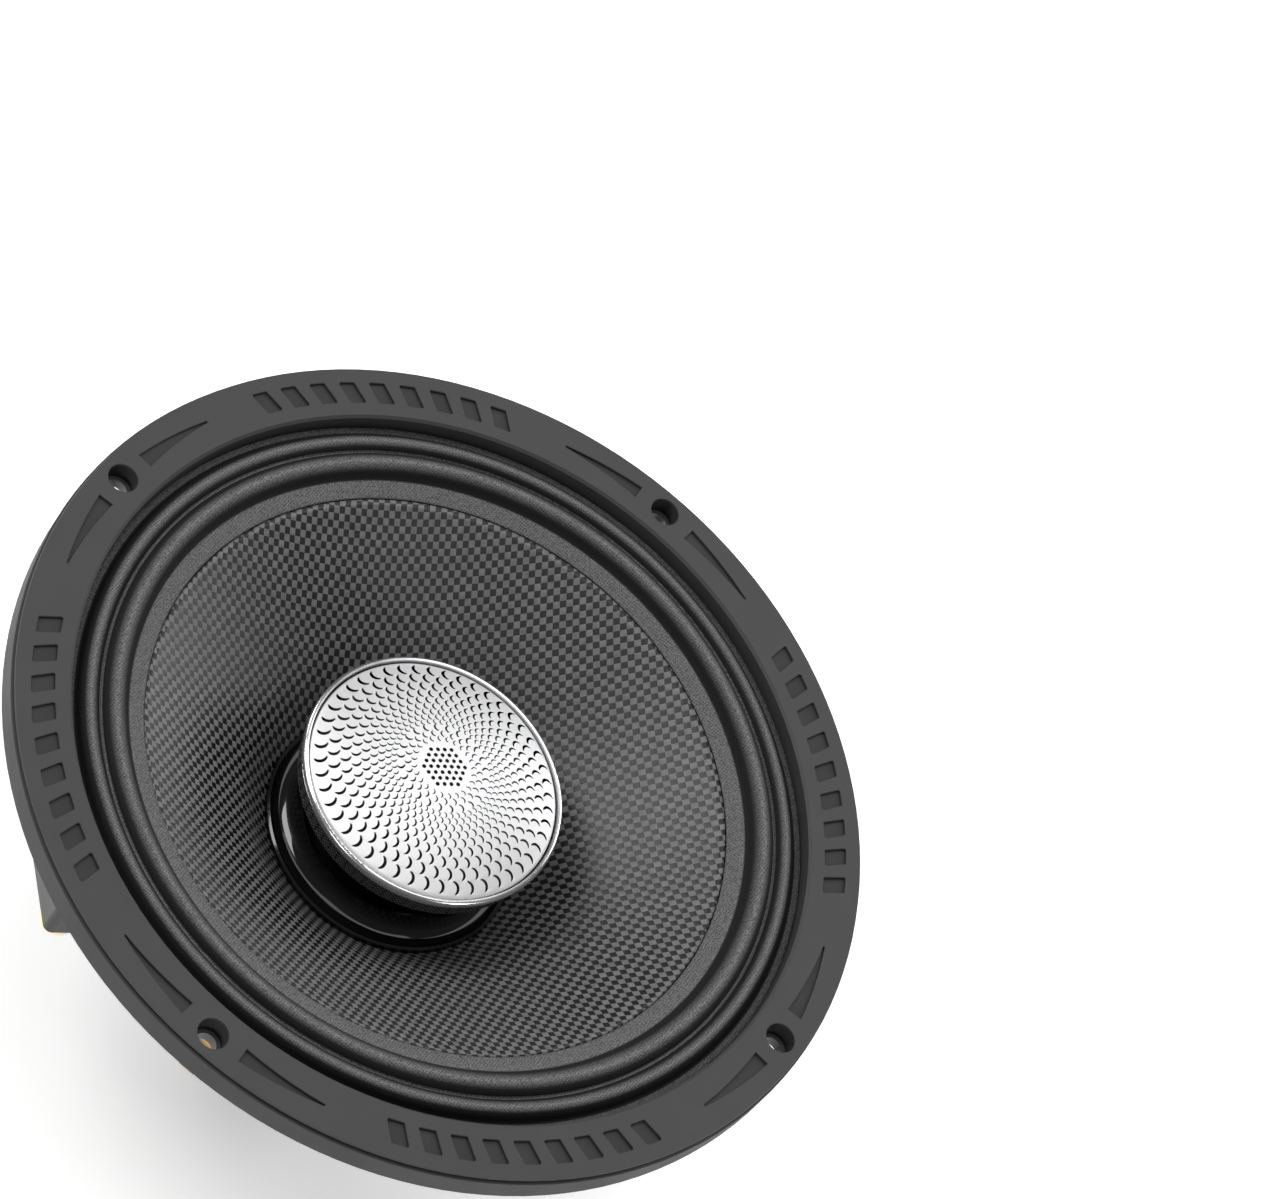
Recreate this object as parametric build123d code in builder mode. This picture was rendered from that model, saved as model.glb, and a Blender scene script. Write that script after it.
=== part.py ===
from build123d import *
from math import cos, pi, radians, sin, sqrt, tan
import os

# 6.5 inch two-way coaxial car loudspeaker, in millimetres.
# Origin: centre of the mounting face under the flange. +Z: the axis, out of the cone.
# The terminal block is on the -X side; legs and mounting holes stand at 45 degrees.

# ---------------------------------------------------------------- driving dimensions
LEG_ANGLES = (45, 135, 225, 315)
SIDE_ANGLES = (0, 90, 180, 270)

# flange and rubber trim
FLANGE_R = 81.1
FLANGE_T = 2.2
TRIM_OUTER_R = 82.5
TRIM_INNER_R = 71.6
TRIM_TOP_Z = 6.3
TRIM_SKIRT_Z = 0.35
BOLT_CIRCLE_R = 77.5
BOLT_HOLE_R = 2.05
TRIM_HOLE_R = 2.85

# basket
SKIRT_R = 70.0
SKIRT_INNER_R = 67.6
WINDOW_TOP_Z = -4.6
LANDING_TOP_Z = -30.4
LANDING_BOTTOM_Z = -34.2
LANDING_R = 50.2
LANDING_INNER_R = 45.6
SEAT_R = 49.8
BASE_TOP_Z = -44.2
BASE_BOTTOM_Z = -48.6
BASE_R = 38.6
BASE_INNER_R = 22.5
WINDOW_FRAME_W = 3.6
WINDOW_FRAME_H = 0.8

# cone and its suspension
COIL_FORMER_R = 18.8
COIL_FORMER_T = 0.2
COIL_R = 19.6
COIL_LENGTH = 10.0
SPIDER_Z = -31.0
SPIDER_OUTER_R = 49.6
SPIDER_T = 0.5
SPIDER_PITCH = 6.0
SPIDER_WAVE_H = 1.1

# motor
TOP_PLATE_R = 39.4
TOP_PLATE_T = 4.8
GAP_OUTER_R = 20.0
POLE_R = 18.4
POLE_TOP_Z = -47.8
MAGNET_R = 32.4
MAGNET_INNER_R = 21.9
MAGNET_BOTTOM_Z = -62.8
YOKE_R = 33.2
YOKE_BOTTOM_Z = -67.0
BORE_R = 6.6

# tweeter head
BEZEL_R = 25.4
BEZEL_Z = -2.2
GRILLE_R = 24.2
GRILLE_CROWN_Z = 3.0
GRILLE_T = 0.5
HEAD_R = 24.3
HEAD_BOTTOM_Z = -8.2
STEM_R = 17.6

# treble driver behind the back plate
COVER_R = 23.5
COVER_BOTTOM_Z = -76.7
COVER_WALL = 1.0
DOME_R = 12.3

# terminal block and its two posts
BLOCK_X = (-65.3, -54.9)
BLOCK_Z = (-35.7, -23.5)
BLOCK_W = 31.0
POST_X = -60.1
POST_Y = 9.75
SLEEVE_R = 3.4
SLEEVE_BOTTOM_Z = -38.6
THUMB_TOP_Z = -38.75
THUMB_BOTTOM_Z = -42.1

os.makedirs("parts", exist_ok=True)
MADE = []


# ---------------------------------------------------------------- helpers
def section(points):
    """A closed outline in the half plane of radius (X) and height (Z)."""
    with BuildSketch(Plane.XZ) as outline:
        with BuildLine():
            Polyline(*points, close=True)
        make_face()
    return outline.sketch


def front_outline(points, corner, grow=0.0):
    """A closed outline seen from the -Y side, with rounded corners."""
    with BuildSketch(Plane.XZ) as outline:
        with BuildLine():
            Polyline(*points, close=True)
        make_face()
        fillet(outline.vertices(), corner)
        if grow:
            offset(amount=grow, kind=Kind.ARC)
    return outline.sketch


def turned(points):
    """A solid of revolution, not joined to the part being built."""
    return revolve(section(points), axis=Axis.Z, mode=Mode.PRIVATE)


def through_side(outline):
    """The outline pushed outwards through the -Y side of the basket."""
    return extrude(outline, amount=95, mode=Mode.PRIVATE)


def spun(shape, angles):
    """Copies of a shape about the axis."""
    return [shape.rotate(Axis.Z, angle) for angle in angles]


def keep(part, name):
    """Label a finished piece and write it as one STEP file."""
    part.label = name
    export_step(part, f"parts/{name}.step")
    MADE.append(name)


def mirrored(points):
    """The same outline on the other side of the centre line."""
    return points + [(-x, z) for x, z in reversed(points)]


# ---------------------------------------------------------------- basket
# Its walls are a turned shape squared off on its four sides, which leaves flat facets.
SHELL_OUTER = [(69.6, 0), (69.3, -3.5), (65.4, -18.2), (61.2, -27.4), (51.8, -38.3), (43.0, -44.6)]
SHELL_INNER = [(67.6, 0), (66.4, -3.5), (62.2, -18.0), (57.8, -26.6), (49.0, -36.4), (39.6, -44.6)]
SIDE_OUTER = [(69.6, 0), (69.3, -3.5), (59.4, -18.2), (54.4, -26.0), (50.9, -31.0), (50.3, -34.4), (41.2, -44.6)]
SIDE_WALL = 3.0
LEG_RIB = [(70.2, -4.4), (67.0, -18.2), (62.8, -27.4), (54.6, -38.3), (51.0, -42.8), (47.0, -43.6)]
STRIP_LINE = [(69.9, -4.4), (66.0, -18.2), (61.8, -27.4), (53.0, -38.6)]
WINDOW = mirrored([(36.8, WINDOW_TOP_Z), (33.4, -17.6), (19.4, LANDING_TOP_Z)])
INNER_SLOT = [(2.2, -34.6), (6.7, -34.6), (6.2, -43.4), (1.9, -43.4)]
OUTER_SLOT = [(11.1, -34.6), (17.6, -35.0), (13.2, -43.4), (9.9, -43.4)]
LEG_HALF_ANGLE = 12.0
CHANNEL_HALF_ANGLE = 7.4
STRIP_HALF_ANGLE = 5.1
STRIP_RISE = 1.9
CHANNEL_DEPTH = 1.6


def turned_solid(points):
    """A full solid of revolution under an outline of radius and height."""
    return turned([(0, points[0][1]), *points, (0, points[-1][1])])


def squared(points, wall):
    """A block with the four sides' outline, its walls moved inwards."""
    with BuildSketch(Plane.YZ.offset(-90)) as outline:
        with BuildLine():
            Polyline(*mirrored([(reach - wall, z) for reach, z in points]), close=True)
        make_face()
    side_pair = extrude(outline.sketch, amount=180, mode=Mode.PRIVATE)
    return side_pair & side_pair.rotate(Axis.Z, 90)


def wedge(half_angle, low, high):
    """A wedge from the axis outwards on the +X side."""
    reach = 90
    half = reach * tan(radians(half_angle))
    with BuildSketch(Plane.XY.offset(low)) as plan:
        with BuildLine():
            Polyline((0, 0), (reach, -half), (reach, half), close=True)
        make_face()
    return extrude(plan.sketch, amount=high - low, mode=Mode.PRIVATE)


def band(points, low, high):
    """A turned band between two offsets from an outline."""
    return turned([(r + high, z) for r, z in points] + [(r + low, z) for r, z in reversed(points)])


window_cutter = through_side(front_outline(WINDOW, 6.0))
frame_cutter = through_side(front_outline(WINDOW, 6.0, WINDOW_FRAME_W))
outer_form = turned_solid(SHELL_OUTER) & squared(SIDE_OUTER, 0)
inner_form = turned_solid(SHELL_INNER) & squared(SIDE_OUTER, SIDE_WALL)
frame_form = turned_solid([(r + WINDOW_FRAME_H, z) for r, z in SHELL_OUTER]) & squared(
    SIDE_OUTER, -WINDOW_FRAME_H)
rib_form = turned(LEG_RIB + [(41.0, -43.6), (60.0, -20.0), (66.5, -4.4)])
channel_form = band(STRIP_LINE, -CHANNEL_DEPTH, 6.0)
frames = [(frame_form & copy) - inner_form for copy in spun(frame_cutter, SIDE_ANGLES)]
ribs = [rib_form & copy for copy in spun(wedge(LEG_HALF_ANGLE, -44, -4.4), LEG_ANGLES)]
channels = [channel_form & copy for copy in spun(wedge(CHANNEL_HALF_ANGLE, -44, -5.4), LEG_ANGLES)]

with BuildPart() as basket:
    add(outer_form - inner_form)
    for piece in frames + ribs:
        add(piece)
    for cutter in channels + spun(window_cutter, SIDE_ANGLES):
        add(cutter, mode=Mode.SUBTRACT)
    for side in (1, -1):
        for slot in (INNER_SLOT, OUTER_SLOT):
            cutter = through_side(front_outline([(side * x, z) for x, z in slot], 0.9))
            for copy in spun(cutter, SIDE_ANGLES):
                add(copy, mode=Mode.SUBTRACT)
    revolve(section([(0, -31.2), (SEAT_R, -31.2), (SEAT_R, -24.0), (0, -24.0)]), axis=Axis.Z, mode=Mode.SUBTRACT)
    revolve(section([
        (LANDING_INNER_R, -31.2), (SEAT_R, -31.2), (SEAT_R, LANDING_TOP_Z - 0.1), (LANDING_R, LANDING_TOP_Z - 0.1),
        (LANDING_R, LANDING_BOTTOM_Z), (LANDING_INNER_R, LANDING_BOTTOM_Z)]), axis=Axis.Z)
    revolve(section([(36.2, -39.0), (37.8, -39.0), (37.8, BASE_TOP_Z), (36.2, BASE_TOP_Z)]), axis=Axis.Z)
    revolve(section([
        (SKIRT_INNER_R, WINDOW_TOP_Z + 0.6), (SKIRT_R - 0.2, WINDOW_TOP_Z + 0.6), (SKIRT_R + 0.4, -1.2),
        (SKIRT_R + 0.6, 0), (FLANGE_R, 0), (FLANGE_R, FLANGE_T), (SKIRT_INNER_R, FLANGE_T)]), axis=Axis.Z)
    revolve(section([
        (BASE_INNER_R, BASE_TOP_Z), (BASE_R, BASE_TOP_Z), (BASE_R, BASE_BOTTOM_Z + 0.3),
        (BASE_R - 2, BASE_BOTTOM_Z + 0.3), (BASE_R - 2, BASE_BOTTOM_Z), (BASE_INNER_R, BASE_BOTTOM_Z)]),
        axis=Axis.Z)
    with PolarLocations(BOLT_CIRCLE_R, 4, start_angle=45):
        Cylinder(BOLT_HOLE_R, 20, mode=Mode.SUBTRACT)
keep(basket.part, "basket")

# ---------------------------------------------------------------- rubber trim on the flange
POCKET_DEPTH = 0.6
POCKET_EDGE = 0.12
MOTIF_R = 76.9
BAR_COUNT = 9
BAR_PITCH_ANGLE = 4.5
BAR_W = 3.3
BAR_H = 4.4
BAR_SLANT = 1.5
GROOVE_NEAR_ANGLE = 4.6
GROOVE_FAR_ANGLE = 16.8
GROOVE_R = 77.2
GROOVE_HALF_WIDTH = 1.45
GROOVE_HALF_TIP = 0.15


def polar(radius, angle):
    """A point in plan from its radius and its angle in degrees."""
    return (radius * cos(radians(angle)), radius * sin(radians(angle)))


def groove_outline(side):
    """A wedge groove beside the hole at 45 degrees, wide end next to the hole."""
    near = 45 + side * GROOVE_NEAR_ANGLE
    far = 45 + side * GROOVE_FAR_ANGLE
    middle = (near + far) / 2
    half_middle = (GROOVE_HALF_WIDTH + GROOVE_HALF_TIP) / 2
    with BuildSketch() as outline:
        with BuildLine():
            Line(polar(GROOVE_R - GROOVE_HALF_WIDTH, near), polar(GROOVE_R + GROOVE_HALF_WIDTH, near))
            ThreePointArc(polar(GROOVE_R + GROOVE_HALF_WIDTH, near), polar(GROOVE_R + half_middle, middle),
                          polar(GROOVE_R + GROOVE_HALF_TIP, far))
            Line(polar(GROOVE_R + GROOVE_HALF_TIP, far), polar(GROOVE_R - GROOVE_HALF_TIP, far))
            ThreePointArc(polar(GROOVE_R - GROOVE_HALF_TIP, far), polar(GROOVE_R - half_middle, middle),
                          polar(GROOVE_R - GROOVE_HALF_WIDTH, near))
        make_face()
    return outline.sketch


def bar_outline():
    """One slanted bar of the pressed pattern, at its place on the +X side."""
    low_r = MOTIF_R - BAR_H / 2
    high_r = MOTIF_R + BAR_H / 2
    half = BAR_W / 2
    with BuildSketch() as outline:
        with BuildLine():
            Polyline((low_r, -half - BAR_SLANT / 2), (low_r, half - BAR_SLANT / 2),
                     (high_r, half + BAR_SLANT / 2), (high_r, -half + BAR_SLANT / 2), close=True)
        make_face()
        fillet(outline.vertices(), 0.35)
    return outline.sketch


bar_angles = [BAR_PITCH_ANGLE * (step - (BAR_COUNT - 1) / 2) for step in range(BAR_COUNT)]
pocket_shapes = [groove_outline(side).rotate(Axis.Z, turn) for side in (1, -1) for turn in SIDE_ANGLES]
pocket_shapes += [bar_outline().rotate(Axis.Z, turn + angle) for turn in SIDE_ANGLES for angle in bar_angles]

with BuildPart() as trim_ring:
    revolve(section([
        (TRIM_INNER_R, FLANGE_T), (TRIM_INNER_R, TRIM_TOP_Z - 0.5), (TRIM_INNER_R + 0.5, TRIM_TOP_Z),
        (TRIM_OUTER_R - 0.5, TRIM_TOP_Z), (TRIM_OUTER_R - 0.4, TRIM_TOP_Z - 0.4),
        (TRIM_OUTER_R - 1.0, TRIM_TOP_Z - 0.6), (TRIM_OUTER_R - 1.0, TRIM_TOP_Z - 1.0),
        (TRIM_OUTER_R - 0.1, TRIM_TOP_Z - 1.1), (TRIM_OUTER_R, TRIM_TOP_Z - 1.2), (TRIM_OUTER_R, TRIM_SKIRT_Z),
        (FLANGE_R, TRIM_SKIRT_Z), (FLANGE_R, FLANGE_T)]), axis=Axis.Z)
    with PolarLocations(BOLT_CIRCLE_R, 4, start_angle=45):
        Cylinder(TRIM_HOLE_R, 30, mode=Mode.SUBTRACT)
    with BuildSketch(Plane.XY.offset(TRIM_TOP_Z)):
        add(pocket_shapes)
    extrude(amount=-POCKET_DEPTH, mode=Mode.SUBTRACT)
    top_face = trim_ring.faces().filter_by(Axis.Z).sort_by(Axis.Z)[-1]
    chamfer([edge for wire in top_face.inner_wires() for edge in wire.edges()
             if edge.length < 60], POCKET_EDGE)
keep(trim_ring.part, "trim_ring")

# ---------------------------------------------------------------- accent strips, one on each leg
STRIP_WEDGE = wedge(STRIP_HALF_ANGLE, -38.4, -5.6)
STRIP_BAND = band(STRIP_LINE, -CHANNEL_DEPTH, STRIP_RISE)
for number, angle in enumerate(LEG_ANGLES, start=1):
    with BuildPart() as accent_strip:
        add(STRIP_BAND & STRIP_WEDGE.rotate(Axis.Z, angle))
    keep(accent_strip.part, f"accent_strip_{number}")

# ---------------------------------------------------------------- surround: a double cloth roll
ROLL_BASE_Z = 3.0
ROLL_CREST_Z = (4.8, 5.2)
SURROUND_T = 0.5
ROLL_EDGES = (69.0, 65.3, 60.5)


def surround_line(drop):
    """Upper face of the surround, lowered by the cloth's thickness for its lower face."""
    land_z = FLANGE_T + SURROUND_T
    pieces = [Line((71.4, land_z - drop), (69.4, land_z - drop))]
    pieces.append(Line((69.4, land_z - drop), (ROLL_EDGES[0], ROLL_BASE_Z - drop)))
    for outer, inner, crest_z in zip(ROLL_EDGES, ROLL_EDGES[1:], ROLL_CREST_Z):
        crest = ((outer + inner) / 2, crest_z - drop)
        pieces.append(ThreePointArc((outer, ROLL_BASE_Z - drop), crest, (inner, ROLL_BASE_Z - drop)))
    pieces.append(Line((ROLL_EDGES[-1], ROLL_BASE_Z - drop), (56.8, 1.7 - drop)))
    return pieces


with BuildPart() as surround:
    with BuildSketch(Plane.XZ):
        with BuildLine() as surround_outline:
            for edge in surround_line(0) + surround_line(SURROUND_T):
                add(edge)
            Line((71.4, FLANGE_T + SURROUND_T), (71.4, FLANGE_T))
            Line((56.8, 1.7), (56.8, 1.7 - SURROUND_T))
        make_face()
    revolve(axis=Axis.Z)
keep(surround.part, "surround")

# ---------------------------------------------------------------- cone, neck ring and voice coil
with BuildPart() as cone:
    with BuildSketch(Plane.XZ):
        with BuildLine():
            front = Spline((56.55, 1.55), (45.0, -6.4), (32.9, -15.0), (26.0, -21.7), (19.0, -29.0))
            Line((19.0, -29.0), (19.0, -30.0))
            back = Spline((19.0, -30.0), (26.0, -22.5), (32.9, -15.9), (45.0, -7.3), (56.9, 0.4))
            Polyline((56.9, 0.4), (60.2, 1.87), (60.2, 2.37), (56.55, 0.85), (56.55, 1.55))
        make_face()
    revolve(axis=Axis.Z)
keep(cone.part, "cone")

with BuildPart() as cone_collar:
    with BuildSketch(Plane.XZ):
        with BuildLine():
            Polyline((21.4, -26.1), (24.7, -22.9), (24.5, -22.1), (24.1, -21.8), (23.7, -22.2), (23.1, -22.9))
            Spline((23.1, -22.9), (21.6, -22.8), (20.1, -21.7), (18.9, -19.6))
            Polyline((18.9, -19.6), (18.5, -19.6), (18.6, -21.4), (19.0, -23.4), (19.0, -28.5), (21.4, -26.1))
        make_face()
    revolve(axis=Axis.Z)
keep(cone_collar.part, "cone_collar")

COIL_MID_Z = BASE_BOTTOM_Z - TOP_PLATE_T / 2
with BuildPart() as coil_former:
    revolve(section([
        (COIL_FORMER_R, -24.0), (COIL_FORMER_R + COIL_FORMER_T, -24.0),
        (COIL_FORMER_R + COIL_FORMER_T, COIL_MID_Z - COIL_LENGTH / 2 - 0.5),
        (COIL_FORMER_R, COIL_MID_Z - COIL_LENGTH / 2 - 0.5)]), axis=Axis.Z)
keep(coil_former.part, "coil_former")

with BuildPart() as voice_coil:
    with Locations((0, 0, COIL_MID_Z)):
        Cylinder(COIL_R, COIL_LENGTH)
        Cylinder(COIL_FORMER_R + COIL_FORMER_T, COIL_LENGTH + 1, mode=Mode.SUBTRACT)
keep(voice_coil.part, "voice_coil")


# ---------------------------------------------------------------- spider and the leads laid on it
def spider_height(radius):
    """Mid height of the corrugated cloth at a radius."""
    inner, outer = 21.0, 45.0
    if radius <= inner or radius >= outer:
        return SPIDER_Z
    return SPIDER_Z + SPIDER_WAVE_H * sin(2 * pi * (radius - inner) / SPIDER_PITCH)


WAVE_RADII = [21.0 + SPIDER_PITCH / 8 * step for step in range(33)]


def spider_points(lift):
    """The waved line of the cloth, lifted or lowered from its middle."""
    return [(radius, spider_height(radius) + lift) for radius in WAVE_RADII]


with BuildPart() as spider:
    half = SPIDER_T / 2
    with BuildSketch(Plane.XZ):
        with BuildLine():
            Line((19.3, SPIDER_Z + half), (21.0, SPIDER_Z + half))
            Spline(*spider_points(half))
            Polyline((45.0, SPIDER_Z + half), (SPIDER_OUTER_R, SPIDER_Z + half),
                     (SPIDER_OUTER_R, SPIDER_Z - half / 2), (45.0, SPIDER_Z - half / 2),
                     (45.0, SPIDER_Z - half))
            Spline(*spider_points(-half))
            Polyline((21.0, SPIDER_Z - half), (19.3, SPIDER_Z - half), (19.3, SPIDER_Z + half))
        make_face()
    revolve(axis=Axis.Z)
keep(spider.part, "spider")

LEAD_Y = 5.0
LEAD_W = 3.0
LEAD_T = 0.5
LEAD_CLEARANCE = 0.6


def lead_points(lift):
    """Side view of a tinsel lead: neck, over the rolls, up to the lug."""
    rise = SPIDER_T / 2 + LEAD_CLEARANCE + lift
    waves = [(-sqrt(radius ** 2 - LEAD_Y ** 2), spider_height(radius) + rise) for radius in WAVE_RADII[1:]]
    return [(-19.6, SPIDER_Z + rise), *waves]


for name, side in (("left", 1), ("right", -1)):
    with BuildPart() as tinsel_lead:
        with BuildSketch(Plane.XZ.offset(side * LEAD_Y - LEAD_W / 2)):
            with BuildLine():
                low = Spline(*lead_points(0.0))
                high = Spline(*lead_points(LEAD_T))
                Line(low @ 0, high @ 0)
                Polyline(low @ 1, (-48.4, -30.6), (-53.2, -24.2), (-53.8, -24.2), (-48.6, -30.0), high @ 1)
            make_face()
        extrude(amount=LEAD_W)
    keep(tinsel_lead.part, f"tinsel_lead_{name}")

# ---------------------------------------------------------------- woofer motor
TOP_PLATE_BOTTOM_Z = BASE_BOTTOM_Z - TOP_PLATE_T
with BuildPart() as top_plate:
    with Locations((0, 0, COIL_MID_Z)):
        Cylinder(TOP_PLATE_R, TOP_PLATE_T)
    chamfer(top_plate.edges().filter_by(GeomType.CIRCLE), 0.5)
    with Locations((0, 0, COIL_MID_Z)):
        Cylinder(GAP_OUTER_R, TOP_PLATE_T + 2, mode=Mode.SUBTRACT)
keep(top_plate.part, "top_plate")

with BuildPart() as ferrite_magnet:
    revolve(section([
        (MAGNET_INNER_R, TOP_PLATE_BOTTOM_Z), (MAGNET_R, TOP_PLATE_BOTTOM_Z),
        (MAGNET_R, MAGNET_BOTTOM_Z), (MAGNET_INNER_R, MAGNET_BOTTOM_Z)]), axis=Axis.Z)
keep(ferrite_magnet.part, "ferrite_magnet")

with BuildPart() as magnet_cover_upper:
    revolve(section([
        (MAGNET_R + 0.1, TOP_PLATE_BOTTOM_Z), (38.2, TOP_PLATE_BOTTOM_Z), (38.6, TOP_PLATE_BOTTOM_Z - 0.4),
        (38.6, -57.0), (38.0, -57.6), (36.2, -57.6), (36.2, -57.9), (MAGNET_R + 0.1, -57.9)]), axis=Axis.Z)
keep(magnet_cover_upper.part, "magnet_cover_upper")

with BuildPart() as magnet_cover_lower:
    with BuildSketch(Plane.XZ):
        with BuildLine():
            Polyline((YOKE_R, MAGNET_BOTTOM_Z), (MAGNET_R + 0.1, MAGNET_BOTTOM_Z), (MAGNET_R + 0.1, -57.9),
                     (36.6, -57.9), (36.6, -58.8))
            ThreePointArc((36.6, -58.8), (34.2, -60.4), (YOKE_R, MAGNET_BOTTOM_Z))
        make_face()
    revolve(axis=Axis.Z)
keep(magnet_cover_lower.part, "magnet_cover_lower")

with BuildPart() as pole_yoke:
    revolve(section([
        (BORE_R, POLE_TOP_Z), (POLE_R - 0.5, POLE_TOP_Z), (POLE_R, POLE_TOP_Z - 0.5), (POLE_R, MAGNET_BOTTOM_Z),
        (YOKE_R, MAGNET_BOTTOM_Z), (YOKE_R, YOKE_BOTTOM_Z + 0.8), (YOKE_R - 0.8, YOKE_BOTTOM_Z),
        (BORE_R, YOKE_BOTTOM_Z)]), axis=Axis.Z)
keep(pole_yoke.part, "pole_yoke")

with BuildPart() as shorting_ring:
    revolve(section([
        (POLE_R + 0.02, MAGNET_BOTTOM_Z), (MAGNET_INNER_R - 0.1, MAGNET_BOTTOM_Z),
        (MAGNET_INNER_R - 0.1, -61.2), (POLE_R + 0.02, -61.2)]), axis=Axis.Z)
keep(shorting_ring.part, "shorting_ring")

# ---------------------------------------------------------------- tweeter head on its stem
with BuildPart() as tweeter_stem:
    with BuildSketch(Plane.XZ):
        with BuildLine():
            Polyline((STEM_R, -26.0), (STEM_R, POLE_TOP_Z), (BORE_R, POLE_TOP_Z), (BORE_R, -21.0),
                     (9.0, -13.6), (15.0, -8.9), (22.4, -6.9), (22.4, -3.2), (23.2, -3.2),
                     (23.2, HEAD_BOTTOM_Z), (22.4, HEAD_BOTTOM_Z - 0.6))
            ThreePointArc((22.4, HEAD_BOTTOM_Z - 0.6), (16.9, -15.0), (STEM_R, -26.0))
        make_face()
    revolve(axis=Axis.Z)
keep(tweeter_stem.part, "tweeter_stem")

KNURL_COUNT = 72
with BuildPart() as tweeter_vent_band:
    revolve(section([
        (23.25, -3.8), (HEAD_R, -3.8), (HEAD_R, -7.6), (HEAD_R - 0.6, HEAD_BOTTOM_Z), (23.25, HEAD_BOTTOM_Z)]),
        axis=Axis.Z)
    with PolarLocations(HEAD_R + 0.1, KNURL_COUNT):
        with Locations((0, 0, -5.7)):
            Cylinder(0.35, 3.2, mode=Mode.SUBTRACT)
keep(tweeter_vent_band.part, "tweeter_vent_band")

with BuildPart() as tweeter_bezel:
    with BuildSketch(Plane.XZ):
        with BuildLine():
            Polyline((24.3, -2.75), (23.3, -2.75), (23.3, -3.7), (24.9, -3.7), (25.15, -3.5), (25.15, -3.25),
                     (24.95, -3.15), (25.3, -3.0), (25.3, -2.8), (25.1, -2.7), (BEZEL_R, -2.55))
            ThreePointArc((BEZEL_R, -2.55), (25.2, -1.85), (24.8, -1.6))
            Polyline((24.8, -1.6), (24.5, -1.7), (24.3, -2.75))
        make_face()
    revolve(axis=Axis.Z)
keep(tweeter_bezel.part, "tweeter_bezel")

DOME_RISE = GRILLE_CROWN_Z - BEZEL_Z
DOME_SPHERE_R = (GRILLE_R ** 2 + DOME_RISE ** 2) / (2 * DOME_RISE)


def dome_z(radius):
    """Height of the grille's upper face at a radius."""
    centre = GRILLE_CROWN_Z - DOME_SPHERE_R
    return centre + sqrt(DOME_SPHERE_R ** 2 - radius ** 2)


HOLE_PITCH = 1.35
HOLE_R = 0.42
HOLE_RINGS = 3
with BuildPart() as tweeter_grille:
    with BuildSketch(Plane.XZ):
        with BuildLine():
            ThreePointArc((0, GRILLE_CROWN_Z), (GRILLE_R / 2, dome_z(GRILLE_R / 2)), (GRILLE_R, BEZEL_Z))
            Line((GRILLE_R, BEZEL_Z), (GRILLE_R, BEZEL_Z - GRILLE_T))
            ThreePointArc((GRILLE_R, BEZEL_Z - GRILLE_T), (GRILLE_R / 2, dome_z(GRILLE_R / 2) - GRILLE_T),
                          (0, GRILLE_CROWN_Z - GRILLE_T))
            Line((0, GRILLE_CROWN_Z - GRILLE_T), (0, GRILLE_CROWN_Z))
        make_face()
    revolve(axis=Axis.Z)
    for row in range(-HOLE_RINGS, HOLE_RINGS + 1):
        across = 2 * HOLE_RINGS + 1 - abs(row)
        for place in range(across):
            hole_x = (place - (across - 1) / 2) * HOLE_PITCH
            hole_y = row * HOLE_PITCH * sqrt(3) / 2
            with Locations((hole_x, hole_y, GRILLE_CROWN_Z)):
                Cylinder(HOLE_R, 4, mode=Mode.SUBTRACT)
keep(tweeter_grille.part, "tweeter_grille")

with BuildPart() as throat_horn:
    with BuildSketch(Plane.XZ):
        with BuildLine():
            Line((5.4, -20.9), (6.5, -20.9))
            Spline((6.5, -20.9), (9.0, -13.5), (15.0, -8.8), (22.3, -6.8))
            Line((22.3, -6.8), (22.3, -6.0))
            Spline((22.3, -6.0), (14.4, -8.0), (7.8, -13.0), (5.4, -20.9))
        make_face()
    revolve(axis=Axis.Z)
keep(throat_horn.part, "throat_horn")

with BuildPart() as throat_tube:
    revolve(section([(5.4, -21.0), (6.5, -21.0), (6.5, YOKE_BOTTOM_Z), (5.4, YOKE_BOTTOM_Z)]), axis=Axis.Z)
keep(throat_tube.part, "throat_tube")

# ---------------------------------------------------------------- treble compression driver
SPACER_BOTTOM_Z = YOKE_BOTTOM_Z - 2.8
with BuildPart() as hf_phase_plug:
    with Locations((0, 0, YOKE_BOTTOM_Z - 0.6)):
        Cylinder(11.5, 1.2)
        Cylinder(1.6, 3, mode=Mode.SUBTRACT)
        with PolarLocations(3.9, 8):
            Cylinder(0.9, 3, mode=Mode.SUBTRACT)
keep(hf_phase_plug.part, "hf_phase_plug")

with BuildPart() as hf_spacer:
    revolve(section([
        (15.2, YOKE_BOTTOM_Z), (20.0, YOKE_BOTTOM_Z), (20.0, SPACER_BOTTOM_Z), (15.2, SPACER_BOTTOM_Z)]),
        axis=Axis.Z)
keep(hf_spacer.part, "hf_spacer")

with BuildPart() as hf_diaphragm:
    revolve(section([(0, -68.7), (4.0, -68.75), (8.0, -68.9), (DOME_R, -69.3), (DOME_R, -69.5),
                     (8.0, -69.1), (4.0, -68.95), (0, -68.9)]), axis=Axis.Z)
keep(hf_diaphragm.part, "hf_diaphragm")

with BuildPart() as hf_edge:
    revolve(section([(12.95, -69.15), (15.1, -69.15), (15.1, -69.35), (12.95, -69.35)]), axis=Axis.Z)
keep(hf_edge.part, "hf_edge")

with BuildPart() as hf_voice_coil:
    revolve(section([(DOME_R, -69.1), (12.85, -69.1), (12.85, -71.4), (DOME_R + 0.15, -71.4),
                     (DOME_R + 0.15, -69.6), (DOME_R, -69.6)]), axis=Axis.Z)
keep(hf_voice_coil.part, "hf_voice_coil")

with BuildPart() as hf_pole_disc:
    revolve(section([(0, -70.0), (12.0, -70.0), (12.0, -71.8), (0, -71.8)]), axis=Axis.Z)
keep(hf_pole_disc.part, "hf_pole_disc")

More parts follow.
